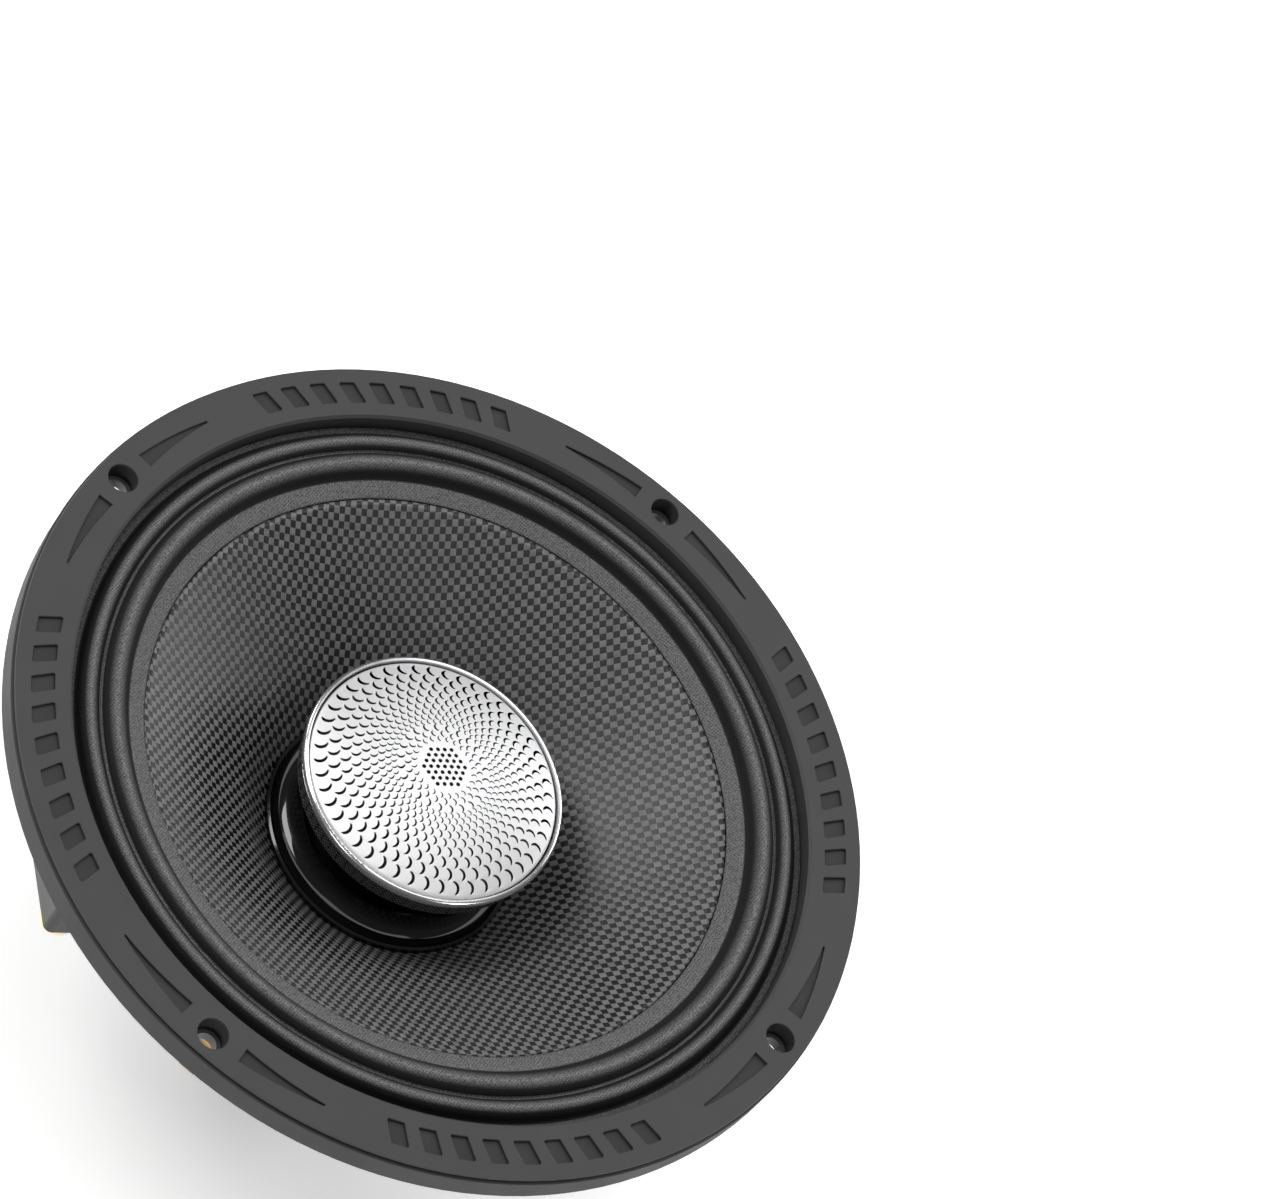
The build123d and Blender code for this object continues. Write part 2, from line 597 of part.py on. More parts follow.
with BuildPart() as hf_magnet:
    revolve(section([(0, -71.8), (10.8, -71.8), (10.8, -74.2), (0, -74.2)]), axis=Axis.Z)
keep(hf_magnet.part, "hf_magnet")

with BuildPart() as hf_yoke:
    revolve(section([
        (13.3, SPACER_BOTTOM_Z), (20.0, SPACER_BOTTOM_Z), (20.0, -75.4), (0, -75.4), (0, -74.2), (13.3, -74.2)]),
        axis=Axis.Z)
keep(hf_yoke.part, "hf_yoke")

with BuildPart() as rear_cover:
    with Locations((0, 0, YOKE_BOTTOM_Z)):
        Cylinder(COVER_R, YOKE_BOTTOM_Z - COVER_BOTTOM_Z, align=(Align.CENTER, Align.CENTER, Align.MAX))
    fillet(rear_cover.edges().filter_by(GeomType.CIRCLE).sort_by(Axis.Z)[0], 5.0)
    offset(amount=-COVER_WALL, openings=rear_cover.faces().sort_by(Axis.Z)[-1])
keep(rear_cover.part, "rear_cover")

BOSS_R = 2.8
BOSS_CIRCLE_R = 28.2
BOSS_H = 4.6
with BuildPart() as cover_bosses:
    with PolarLocations(BOSS_CIRCLE_R, 4, start_angle=45):
        with Locations((0, 0, YOKE_BOTTOM_Z)):
            Cylinder(BOSS_R, BOSS_H, align=(Align.CENTER, Align.CENTER, Align.MAX))
    fillet(cover_bosses.edges().filter_by(GeomType.CIRCLE).group_by(Axis.Z)[0], 1.0)
keep(cover_bosses.part, "cover_bosses")

# ---------------------------------------------------------------- treble blade terminals
BLADE_W = 4.3
BLADE_SHOULDER_W = 5.4
BLADE_T = 0.8
BLADE_Y = 26.3
CONNECTOR_W = 12.4
CONNECTOR_H = 6.6
for name, turn in (("front", 0), ("back", 180)):
    with BuildPart() as blade_base:
        with BuildSketch(Plane.XY.offset(YOKE_BOTTOM_Z)):
            with Locations((0, -24.2)):
                Rectangle(CONNECTOR_W, 4.1)
            Circle(COVER_R + 0.1, mode=Mode.SUBTRACT)
        extrude(amount=-CONNECTOR_H)
    keep(blade_base.part.rotate(Axis.Z, turn), f"blade_base_{name}")

    with BuildPart() as hf_blade:
        with BuildSketch(Plane.XZ.offset(BLADE_Y)) as blade_face:
            with BuildLine():
                half_shoulder = BLADE_SHOULDER_W / 2
                half_blade = BLADE_W / 2
                Polyline((-half_shoulder, YOKE_BOTTOM_Z), (-half_shoulder, -70.2), (-half_blade, -70.8),
                         (-half_blade, -74.7), (-half_blade + 0.9, -75.5), (half_blade - 0.9, -75.5),
                         (half_blade, -74.7), (half_blade, -70.8), (half_shoulder, -70.2),
                         (half_shoulder, YOKE_BOTTOM_Z), close=True)
            make_face()
            with Locations((0, -72.6)):
                SlotOverall(2.4, 1.3, rotation=90, mode=Mode.SUBTRACT)
        extrude(amount=BLADE_T)
    keep(hf_blade.part.rotate(Axis.Z, turn), f"hf_blade_{name}")

# ---------------------------------------------------------------- terminal block
BLOCK_MID_X = sum(BLOCK_X) / 2
with BuildPart() as terminal_block:
    with BuildSketch(Plane.XY.offset(BLOCK_Z[0])):
        with Locations((BLOCK_MID_X, 0)):
            RectangleRounded(BLOCK_X[1] - BLOCK_X[0], BLOCK_W, 1.6)
    extrude(amount=BLOCK_Z[1] - BLOCK_Z[0])
    chamfer(terminal_block.faces().sort_by(Axis.Z)[-1].edges(), 0.4)
    with BuildSketch(Plane.XY.offset(BLOCK_Z[1])):
        with Locations((POST_X, POST_Y), (POST_X, -POST_Y)):
            RectangleRounded(8.0, 9.4, 1.0)
    extrude(amount=-3.0, mode=Mode.SUBTRACT)
    with Locations((POST_X, POST_Y, -30), (POST_X, -POST_Y, -30)):
        Cylinder(2.0, 20, mode=Mode.SUBTRACT)
keep(terminal_block.part, "terminal_block")

POCKET_FLOOR_Z = BLOCK_Z[1] - 3.0
with BuildPart() as post_nuts:
    with BuildSketch(Plane.XY.offset(POCKET_FLOOR_Z)):
        with Locations((POST_X, POST_Y), (POST_X, -POST_Y)):
            RegularPolygon(3.1, 6)
            Circle(1.95, mode=Mode.SUBTRACT)
    extrude(amount=2.2)
keep(post_nuts.part, "post_nuts")

STUD_R = 1.9
PIN_R = 1.6
with BuildPart() as post_studs:
    for side in (1, -1):
        with Locations((POST_X, side * POST_Y, BLOCK_Z[0])):
            Cylinder(STUD_R, 11.6, align=(Align.CENTER, Align.CENTER, Align.MIN))
keep(post_studs.part, "post_studs")

SLOT_Z = -37.0
PIN_TOP_Z = -38.0
NUT_FLOOR_Z = -41.35
for name, side in (("left", 1), ("right", -1)):
    with BuildPart() as post_sleeve:
        with Locations((POST_X, side * POST_Y, BLOCK_Z[0])):
            Cylinder(SLEEVE_R, BLOCK_Z[0] - SLEEVE_BOTTOM_Z, align=(Align.CENTER, Align.CENTER, Align.MAX))
        with Locations((POST_X, side * POST_Y, BLOCK_Z[0] - 0.6)):
            Cylinder(PIN_R + 0.08, 10, align=(Align.CENTER, Align.CENTER, Align.MAX), mode=Mode.SUBTRACT)
        with BuildSketch(Plane.YZ.offset(POST_X - 5)):
            with Locations((side * POST_Y, SLOT_Z)):
                SlotOverall(2.3, 1.7)
        extrude(amount=10, mode=Mode.SUBTRACT)
    keep(post_sleeve.part, f"post_sleeve_{name}")

    with BuildPart() as clamp_pin:
        with Locations((POST_X, side * POST_Y, PIN_TOP_Z)):
            Cylinder(PIN_R, 3.3, align=(Align.CENTER, Align.CENTER, Align.MAX))
    keep(clamp_pin.part, f"clamp_pin_{name}")

    with BuildPart() as thumb_nut:
        with Locations((POST_X, side * POST_Y, THUMB_TOP_Z)):
            Cylinder(SLEEVE_R, THUMB_TOP_Z - THUMB_BOTTOM_Z, align=(Align.CENTER, Align.CENTER, Align.MAX))
        fillet(thumb_nut.edges().filter_by(GeomType.CIRCLE).sort_by(Axis.Z)[0], 0.7)
        with Locations((POST_X, side * POST_Y, NUT_FLOOR_Z)):
            Cylinder(PIN_R + 0.06, 10, align=(Align.CENTER, Align.CENTER, Align.MIN), mode=Mode.SUBTRACT)
        with Locations((POST_X, side * POST_Y, THUMB_BOTTOM_Z)):
            Box(0.8, 4.0, 0.8, mode=Mode.SUBTRACT)
    keep(thumb_nut.part, f"thumb_nut_{name}")

LUG_X = BLOCK_X[1]
LUG_Y = 6.8
LUG_T = 0.7
SIDE_WALL_X = 51.2
with BuildPart() as solder_lugs:
    for side in (1, -1):
        with BuildSketch(Plane.YZ.offset(LUG_X)):
            with Locations((side * LUG_Y, -22.0)):
                SlotOverall(16.0, 4.2, rotation=90)
            with Locations((side * LUG_Y, -16.4)):
                Circle(1.0, mode=Mode.SUBTRACT)
        extrude(amount=LUG_T)
keep(solder_lugs.part, "solder_lugs")

with BuildPart() as lug_rivets:
    for side in (1, -1):
        with BuildSketch(Plane.YZ.offset(LUG_X + LUG_T)):
            with Locations((side * LUG_Y, -27.0)):
                Circle(1.3)
        extrude(amount=0.9)
keep(lug_rivets.part, "lug_rivets")

with BuildPart() as terminal_bracket:
    with BuildSketch(Plane.XY.offset(-34.0)):
        with Locations(((LUG_X - SIDE_WALL_X) / 2, 0)):
            Rectangle(-LUG_X - SIDE_WALL_X, 9.0)
    extrude(amount=3.0)
keep(terminal_bracket.part, "terminal_bracket")

print(len(MADE), "pieces:", ", ".join(MADE))
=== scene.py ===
import math

import bpy
import numpy as np
from mathutils import Matrix, Vector
from mathutils.geometry import delaunay_2d_cdt


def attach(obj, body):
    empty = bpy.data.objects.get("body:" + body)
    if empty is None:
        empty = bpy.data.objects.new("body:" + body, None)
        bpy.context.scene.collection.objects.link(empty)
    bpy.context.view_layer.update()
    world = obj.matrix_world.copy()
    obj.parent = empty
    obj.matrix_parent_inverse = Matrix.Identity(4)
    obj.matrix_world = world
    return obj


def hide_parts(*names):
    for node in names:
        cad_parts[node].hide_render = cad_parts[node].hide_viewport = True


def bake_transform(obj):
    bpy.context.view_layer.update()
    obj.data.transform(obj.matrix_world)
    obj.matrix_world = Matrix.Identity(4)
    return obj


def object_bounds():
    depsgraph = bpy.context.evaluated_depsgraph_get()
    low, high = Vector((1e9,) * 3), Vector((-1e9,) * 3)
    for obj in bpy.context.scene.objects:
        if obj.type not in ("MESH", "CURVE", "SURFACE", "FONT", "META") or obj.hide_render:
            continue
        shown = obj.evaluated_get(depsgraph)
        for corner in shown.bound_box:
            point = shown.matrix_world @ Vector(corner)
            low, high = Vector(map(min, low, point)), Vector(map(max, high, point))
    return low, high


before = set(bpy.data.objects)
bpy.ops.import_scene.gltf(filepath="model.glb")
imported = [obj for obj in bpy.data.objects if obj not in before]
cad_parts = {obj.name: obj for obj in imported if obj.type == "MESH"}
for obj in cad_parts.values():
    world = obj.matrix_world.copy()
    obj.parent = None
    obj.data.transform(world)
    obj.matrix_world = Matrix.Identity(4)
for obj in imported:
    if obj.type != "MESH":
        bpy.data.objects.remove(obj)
CAD_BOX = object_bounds()

# Lengths are in millimetres wherever MM turns them into metres.
MM = 0.001


# ---------------------------------------------------------------- node materials
class Finish:
    """A node material in the making, with its shader and its place in the object's own coordinates."""

    def __init__(self, name, colour, roughness, metallic=0.0, **shader_values):
        self.material = bpy.data.materials.new(name)
        self.material.use_nodes = True
        self.tree = self.material.node_tree
        self.shader = self.tree.nodes["Principled BSDF"]
        self.place = self.tree.nodes.new("ShaderNodeTexCoord").outputs["Object"]
        split = self.node("ShaderNodeSeparateXYZ", Vector=self.place)
        self.x, self.y, self.z = split.outputs
        self.set("Base Color", colour)
        self.set("Roughness", roughness)
        self.set("Metallic", metallic)
        for socket, value in shader_values.items():
            self.set(socket.replace("_", " "), value)

    def put(self, socket, value):
        """Link an output to a socket, or set the socket's own value."""
        if isinstance(value, bpy.types.NodeSocket):
            self.tree.links.new(value, socket)
        elif socket.type == "RGBA" and not isinstance(value, tuple):
            socket.default_value = (value, value, value, 1.0)
        elif socket.type == "RGBA":
            socket.default_value = (*value, 1.0)
        else:
            socket.default_value = value

    def set(self, socket, value):
        """Set or link a socket of the shader."""
        self.put(self.shader.inputs[socket], value)

    def node(self, kind, **inputs):
        """A new node with some of its inputs set or linked."""
        made = self.tree.nodes.new(kind)
        for socket, value in inputs.items():
            self.put(made.inputs[socket], value)
        return made

    def math(self, operation, *values):
        """The output of a math node."""
        made = self.tree.nodes.new("ShaderNodeMath")
        made.operation = operation
        for socket, value in zip(made.inputs, values):
            self.put(socket, value)
        return made.outputs[0]

    def fit(self, value, low, high, new_low, new_high):
        """The value moved smoothly from one range to another, and clamped."""
        made = self.node("ShaderNodeMapRange", **{
            "Value": value, "From Min": low, "From Max": high, "To Min": new_low, "To Max": new_high})
        return made.outputs["Result"]

    def blend(self, share, low, high):
        """A colour between two, by share."""
        made = self.tree.nodes.new("ShaderNodeMix")
        made.data_type = "RGBA"
        self.put(made.inputs["Factor"], share)
        colours = [socket for socket in made.inputs if socket.type == "RGBA"]
        self.put(colours[0], low)
        self.put(colours[1], high)
        return [socket for socket in made.outputs if socket.type == "RGBA"][0]

    def noise(self, size, detail=2.0):
        """Cloudy noise whose patches are about size millimetres wide."""
        made = self.node("ShaderNodeTexNoise", Vector=self.place, Scale=1 / (size * MM), Detail=detail)
        return made.outputs[0]

    def lathe_rings(self, size, detail):
        """Noise in rings round the axis, about size millimetres wide."""
        lathe = self.node("ShaderNodeCombineXYZ", X=self.radius(), Y=0.0, Z=self.z)
        made = self.node("ShaderNodeTexNoise", Vector=lathe.outputs["Vector"], Scale=1 / (size * MM),
                         Detail=detail)
        return made.outputs[0]

    def bump(self, height, depth):
        """Relief depth millimetres high, from a height between 0 and 1."""
        made = self.node("ShaderNodeBump", Height=height, Distance=depth * MM, Strength=1.0)
        self.set("Normal", made.outputs["Normal"])

    def ramp(self, value, stops):
        """A grey level by value, through stops of (place, level) in rising order."""
        first, last = stops[0][0], stops[-1][0]
        made = self.node("ShaderNodeValToRGB", Fac=self.fit(value, first * MM, last * MM, 0.0, 1.0))
        band = made.color_ramp
        while len(band.elements) < len(stops):
            band.elements.new(0.5)
        for element, (place, level) in zip(band.elements, stops):
            element.position = (place - first) / (last - first)
            element.color = (level, level, level, 1.0)
        return made.outputs["Color"]

    def radius(self):
        """Distance from the speaker's axis, in metres."""
        return self.math("SQRT", self.math("ADD", self.math("MULTIPLY", self.x, self.x),
                                           self.math("MULTIPLY", self.y, self.y)))

    def turn(self):
        """Angle round the speaker's axis, in radians."""
        return self.math("ARCTAN2", self.y, self.x)

    def weave(self, u, v, pitch):
        """A plain weave on two coordinates in metres: 1 where the u thread is on top, and the height."""
        across = self.math("DIVIDE", u, pitch * MM)
        along = self.math("DIVIDE", v, pitch * MM)
        cell = self.math("ADD", self.math("FLOOR", across), self.math("FLOOR", along))
        on_top = self.math("PINGPONG", cell, 1.0)
        swell_u = self.math("SINE", self.math("MULTIPLY", self.math("FRACT", across), math.pi))
        swell_v = self.math("SINE", self.math("MULTIPLY", self.math("FRACT", along), math.pi))
        height = self.math("SQRT", self.math("MAXIMUM", self.math("MULTIPLY", swell_u, swell_v), 0.0))
        return on_top, height


# Pitches of the threads, in millimetres.
SURROUND_THREAD = 0.36
CONE_SQUARE = 1.144
CONE_STRAND = 0.16
SPIDER_THREAD = 0.5
BRAID_STRAND = 0.55
MESH_WIRE = 0.8
COIL_WIRE = 0.25

# The trim ring's recesses lie between these radii, and their floor and face are at these heights.
MARK_INNER_R, MARK_OUTER_R = 72.6, 81.3
MARK_FLOOR_Z, MARK_FACE_Z = 5.75, 6.2

# The painted shade in the groove between the bezel and the grille ends here, and the vent band has this
# radius.
BEZEL_GROOVE_R, BEZEL_FACE_R = 24.3, 24.36
VENT_BAND_R = 24.0


def speckled(name, dark, light, roughness, grain, depth, **values):
    """A finish whose colour and roughness drift a little over a fine grain."""
    finish = Finish(name, dark, roughness, **values)
    drift = finish.noise(9.0, 3.0)
    finish.set("Base Color", finish.blend(drift, dark, light))
    finish.set("Roughness", finish.fit(drift, 0.3, 0.7, roughness - 0.05, roughness + 0.05))
    finish.bump(finish.noise(grain, 3.0), depth)
    return finish.material


def make_basket_casting():
    return speckled("basket_casting", (0.046, 0.046, 0.047), (0.056, 0.056, 0.057), 0.42, 0.35, 0.012)


def make_trim_rubber():
    finish = Finish("trim_rubber", 0.04, 0.62, Specular_IOR_Level=0.35)
    drift = finish.noise(9.0, 3.0)
    face = finish.blend(drift, (0.031, 0.031, 0.032), (0.037, 0.037, 0.038))
    # Painted shade: the floors of the recesses are painted darker than the face.
    sunk = finish.fit(finish.z, MARK_FLOOR_Z * MM, MARK_FACE_Z * MM, 1.0, 0.0)
    inside = finish.math("MULTIPLY", finish.math("LESS_THAN", finish.radius(), MARK_OUTER_R * MM),
                         finish.math("GREATER_THAN", finish.radius(), MARK_INNER_R * MM))
    recess_painted_shade = finish.math("MULTIPLY", sunk, inside)
    finish.set("Base Color", finish.blend(recess_painted_shade, face, (0.016, 0.016, 0.016)))
    finish.set("Roughness", finish.fit(drift, 0.3, 0.7, 0.56, 0.66))
    finish.bump(finish.noise(0.22, 3.0), 0.014)
    return finish.material


def make_accent_gold():
    finish = Finish("accent_gold", (0.4, 0.23, 0.09), 0.36, 0.75)
    flake = finish.noise(0.12, 1.0)
    cloud = finish.noise(5.0, 2.0)
    face = finish.blend(finish.fit(cloud, 0.35, 0.65, 0.0, 1.0), (0.4, 0.225, 0.08), (0.46, 0.265, 0.1))
    glint = finish.fit(flake, 0.55, 0.7, 0.0, 0.5)
    finish.set("Base Color", finish.blend(glint, face, (0.64, 0.42, 0.19)))
    finish.set("Roughness", finish.fit(flake, 0.3, 0.7, 0.28, 0.4))
    finish.bump(flake, 0.008)
    return finish.material


# Radius and grey level of the surround's painted light, in five rows: the band on the cone, the inner roll,
# the bead, the outer roll and the land on the flange. Levels near 0 are painted shade in the valleys and at
# the trim's edge, and levels near 1 are painted highlights on the roll crests and the bead.
ROLL_PAINTED_SHADE_AND_HIGHLIGHTS = [
    (56.5, 0.75), (59.8, 0.85),
    (60.1, 0.02), (61.1, 0.02), (62.1, 0.55), (62.9, 1.0), (63.7, 0.5), (64.4, 0.02),
    (65.22, 0.0), (65.34, 1.0), (65.76, 1.0), (65.88, 0.0),
    (66.4, 0.02), (67.0, 0.55), (67.6, 1.0), (68.2, 0.55), (68.7, 0.0),
    (70.1, 0.0), (70.25, 0.45), (71.0, 0.5), (71.3, 0.9), (71.5, 0.1)]


def make_surround_cloth():
    finish = Finish("surround_cloth", 0.02, 0.5, Specular_IOR_Level=0.25)
    on_top, height = finish.weave(finish.x, finish.y, SURROUND_THREAD)
    fluff = finish.fit(finish.noise(0.28, 2.0), 0.35, 0.65, 0.0, 1.0)
    thread = finish.math("ADD", finish.math("MULTIPLY", on_top, 0.3),
                         finish.math("MULTIPLY", fluff, 0.7))
    # Painted light: the grey level by radius darkens the cloth to near black as painted shade in the
    # valleys and keeps it light as painted highlight on the crests and the bead.
    level = finish.ramp(finish.radius(), ROLL_PAINTED_SHADE_AND_HIGHLIGHTS)
    cloth = finish.blend(thread, (0.03, 0.03, 0.031), (0.185, 0.185, 0.188))
    finish.set("Base Color", finish.blend(level, (0.001, 0.001, 0.001), cloth))
    finish.set("Roughness", finish.fit(level, 0.0, 1.0, 0.75, 0.42))
    finish.bump(finish.math("ADD", height, finish.math("MULTIPLY", fluff, 0.5)), 0.05)
    return finish.material


def make_cone_weave():
    finish = Finish("cone_weave", 0.05, 0.5, Specular_IOR_Level=0.42, Anisotropic=0.75)
    on_top, height = finish.weave(finish.x, finish.y, CONE_SQUARE)
    strands = finish.tree.nodes.new("ShaderNodeMix")
    strands.data_type = "VECTOR"
    finish.put(strands.inputs["Factor"], on_top)
    vectors = [socket for socket in strands.inputs if socket.type == "VECTOR"]
    ends = [socket for socket in vectors if "Factor" not in socket.name]
    ends[0].default_value = (0.0, 1.0, 0.0)
    ends[1].default_value = (1.0, 0.0, 0.0)
    finish.set("Tangent", [socket for socket in strands.outputs if socket.type == "VECTOR"][0])
    run = finish.node("ShaderNodeMix", Factor=on_top, A=finish.x, B=finish.y)
    waves_per_metre = 2 * math.pi / (CONE_STRAND * MM)
    strand = finish.math("SINE", finish.math("MULTIPLY", run.outputs["Result"], waves_per_metre))
    uneven = finish.fit(finish.noise(1.6, 2.0), 0.3, 0.7, 0.0, 1.0)
    # The checker of squares is the plain weave; the squares of one thread direction are painted far lighter
    # than the others as painted sheen, beside the real anisotropic sheen of the shader.
    light = finish.blend(uneven, (0.09, 0.09, 0.092), (0.135, 0.135, 0.138))
    dark = finish.blend(uneven, (0.003, 0.003, 0.0035), (0.006, 0.006, 0.0065))
    finish.set("Base Color", finish.blend(on_top, dark, light))
    finish.set("Roughness", finish.fit(on_top, 0.0, 1.0, 0.42, 0.55))
    relief = finish.math("ADD", height, finish.math("MULTIPLY", strand, 0.06))
    finish.bump(relief, 0.022)
    return finish.material


def make_spider_cloth():
    finish = Finish("spider_cloth", 0.03, 0.7, Sheen_Weight=0.15)
    on_top, height = finish.weave(finish.x, finish.y, SPIDER_THREAD)
    finish.set("Base Color", finish.blend(on_top, (0.016, 0.016, 0.017), (0.035, 0.035, 0.036)))
    finish.set("Roughness", finish.fit(height, 0.0, 1.0, 0.78, 0.58))
    finish.bump(height, 0.07)
    return finish.material


def make_tinsel_copper():
    finish = Finish("tinsel_copper", (0.4, 0.22, 0.12), 0.4, 0.6)
    slant_a = finish.math("ADD", finish.x, finish.y)
    slant_b = finish.math("SUBTRACT", finish.x, finish.y)
    on_top, height = finish.weave(slant_a, slant_b, BRAID_STRAND)
    finish.set("Base Color", finish.blend(on_top, (0.17, 0.095, 0.06), (0.52, 0.3, 0.17)))
    finish.set("Roughness", finish.fit(height, 0.0, 1.0, 0.6, 0.34))
    finish.bump(height, 0.12)
    return finish.material


def make_gloss_black():
    return speckled("gloss_black", (0.005, 0.005, 0.0055), (0.008, 0.008, 0.0085), 0.12, 2.5, 0.004,
                    Coat_Weight=0.5, Coat_Roughness=0.04)


def make_collar_black():
    return speckled("collar_black", (0.003, 0.003, 0.0033), (0.006, 0.006, 0.0065), 0.11, 2.0, 0.001,
                    Specular_IOR_Level=0.55)


def make_motor_black():
    finish = Finish("motor_black", 0.012, 0.26, Coat_Weight=0.3, Coat_Roughness=0.12)
    drift = finish.noise(12.0)
    finish.set("Base Color", finish.blend(drift, (0.008, 0.008, 0.009), (0.013, 0.013, 0.014)))
    finish.set("Roughness", finish.fit(drift, 0.3, 0.7, 0.13, 0.2))
    finish.bump(finish.lathe_rings(0.2, 1.0), 0.004)
    return finish.material


def make_lathed(name, dark, light, roughness, depth):
    """Bare metal with the fine rings that a lathe leaves."""
    finish = Finish(name, light, roughness, 1.0)
    rings = finish.lathe_rings(0.12, 2.0)
    finish.set("Base Color", finish.blend(rings, dark, light))
    finish.set("Roughness", finish.fit(rings, 0.3, 0.7, roughness, roughness + 0.12))
    finish.bump(rings, depth)
    return finish.material


def make_ferrite():
    return speckled("ferrite", (0.05, 0.05, 0.052), (0.085, 0.083, 0.08), 0.78, 0.3, 0.03)


def make_former_foil():
    return speckled("former_foil", (0.5, 0.5, 0.5), (0.62, 0.62, 0.62), 0.4, 0.5, 0.01, metallic=1.0)


def make_coil_copper():
    finish = Finish("coil_copper", (0.6, 0.28, 0.13), 0.35, 0.8)
    turns = finish.math("SINE", finish.math("MULTIPLY", finish.z, 2 * math.pi / (COIL_WIRE * MM)))
    turn_relief_and_painted_shade = finish.fit(turns, -1.0, 1.0, 0.0, 1.0)
    # Painted shade: the copper is painted darker in the creases between the wire's turns.
    finish.set("Base Color", finish.blend(turn_relief_and_painted_shade, (0.25, 0.1, 0.05), (0.68, 0.33, 0.16)))
    finish.bump(turn_relief_and_painted_shade, 0.08)
    return finish.material


def make_mesh_black():
    finish = Finish("mesh_black", 0.03, 0.5, Specular_IOR_Level=0.3)
    around = finish.math("MULTIPLY", finish.turn(), VENT_BAND_R * MM)
    on_top, height = finish.weave(finish.math("ADD", around, finish.z),
                                  finish.math("SUBTRACT", around, finish.z), MESH_WIRE)
    # Painted light: the wire tops are painted lighter as painted highlight, and the places between them
    # near black as painted shade.
    wire_top_painted_highlight = finish.fit(height, 0.55, 0.9, 0.0, 1.0)
    finish.set("Base Color", finish.blend(wire_top_painted_highlight, (0.002, 0.002, 0.002), (0.11, 0.11, 0.113)))
    finish.set("Roughness", finish.fit(height, 0.0, 1.0, 0.7, 0.4))
    finish.bump(height, 0.15)
    return finish.material


def make_bezel_chrome():
    finish = Finish("bezel_chrome", 0.5, 0.22, 1.0)
    drift = finish.noise(6.0, 2.0)
    face = finish.blend(drift, (0.74, 0.74, 0.75), (0.84, 0.84, 0.85))
    # Painted shade: the chrome in the groove next to the grille is painted near black.
    groove_painted_shade = finish.fit(finish.radius(), BEZEL_GROOVE_R * MM, BEZEL_FACE_R * MM, 1.0, 0.0)
    finish.set("Base Color", finish.blend(groove_painted_shade, face, (0.01, 0.01, 0.01)))
    finish.set("Roughness", finish.fit(drift, 0.3, 0.7, 0.18, 0.28))
    finish.bump(drift, 0.004)
    return finish.material


def make_grille_silver():
    finish = Finish("grille_silver", 0.6, 0.5, 0.75)
    fine = finish.noise(0.3, 2.0)
    finish.set("Base Color", finish.blend(fine, (0.6, 0.6, 0.605), (0.72, 0.72, 0.725)))
    finish.set("Roughness", finish.fit(fine, 0.3, 0.7, 0.48, 0.56))
    finish.bump(fine, 0.006)
    return finish.material


def make_satin_black_plastic():
    return speckled("satin_black_plastic", (0.018, 0.018, 0.019), (0.024, 0.024, 0.025), 0.4, 0.25, 0.01)


def make_diaphragm_foil():
    return speckled("diaphragm_foil", (0.6, 0.6, 0.62), (0.72, 0.72, 0.74), 0.3, 1.2, 0.01, metallic=1.0)


def make_contact_gold():
    finish = Finish("contact_gold", (0.9, 0.74, 0.4), 0.16, 1.0)
    fine = finish.noise(0.6, 2.0)
    finish.set("Base Color", finish.blend(fine, (0.9, 0.76, 0.46), (0.98, 0.88, 0.6)))
    finish.set("Roughness", finish.fit(fine, 0.3, 0.7, 0.1, 0.2))
    finish.bump(fine, 0.004)
    return finish.material


def make_block_plastic():
    return speckled("block_plastic", (0.010, 0.010, 0.011), (0.016, 0.016, 0.017), 0.3, 0.3, 0.008)


SLOTS = {
    "basket_casting": (make_basket_casting, ["basket"]),
    "trim_rubber": (make_trim_rubber, ["trim_ring"]),
    "accent_gold": (make_accent_gold, [f"accent_strip_{number}" for number in (1, 2, 3, 4)]),
    "surround_cloth": (make_surround_cloth, ["surround", "hf_edge"]),
    "cone_weave": (make_cone_weave, ["cone"]),
    "collar_black": (make_collar_black, ["cone_collar"]),
    "gloss_black": (make_gloss_black, [
        "magnet_cover_lower", "tweeter_stem", "rear_cover", "blade_base_front", "blade_base_back"]),
    "former_foil": (make_former_foil, ["coil_former"]),
    "coil_copper": (make_coil_copper, ["voice_coil", "hf_voice_coil"]),
    "spider_cloth": (make_spider_cloth, ["spider"]),
    "tinsel_copper": (make_tinsel_copper, ["tinsel_lead_left", "tinsel_lead_right", "lug_rivets"]),
    "motor_black": (make_motor_black, ["top_plate", "magnet_cover_upper", "pole_yoke"]),
    "ferrite": (make_ferrite, ["ferrite_magnet"]),
    "aluminium_bare": (lambda: make_lathed("aluminium_bare", 0.68, 0.8, 0.3, 0.01), [
        "shorting_ring", "throat_tube"]),
    "mesh_black": (make_mesh_black, ["tweeter_vent_band"]),
    "bezel_chrome": (make_bezel_chrome, ["tweeter_bezel"]),
    "grille_silver": (make_grille_silver, ["tweeter_grille"]),
    "satin_black_plastic": (make_satin_black_plastic, [
        "throat_horn", "hf_phase_plug", "hf_spacer", "cover_bosses", "terminal_bracket"]),
    "diaphragm_foil": (make_diaphragm_foil, ["hf_diaphragm"]),
    "steel_plated": (lambda: make_lathed("steel_plated", 0.6, 0.74, 0.22, 0.01), [
        "hf_pole_disc", "hf_magnet", "hf_yoke", "post_nuts"]),
    "contact_gold": (make_contact_gold, [
        "hf_blade_front", "hf_blade_back", "post_studs", "post_sleeve_left", "post_sleeve_right",
        "clamp_pin_left", "clamp_pin_right", "thumb_nut_left", "thumb_nut_right", "solder_lugs"]),
    "block_plastic": (make_block_plastic, ["terminal_block"]),
}

MATERIALS = {}
for slot_name, (make, slot_nodes) in SLOTS.items():
    MATERIALS[slot_name] = make()
    for node_name in slot_nodes:
        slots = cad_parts[node_name].data.materials
        for index in range(len(slots)):
            slots[index] = MATERIALS[slot_name]


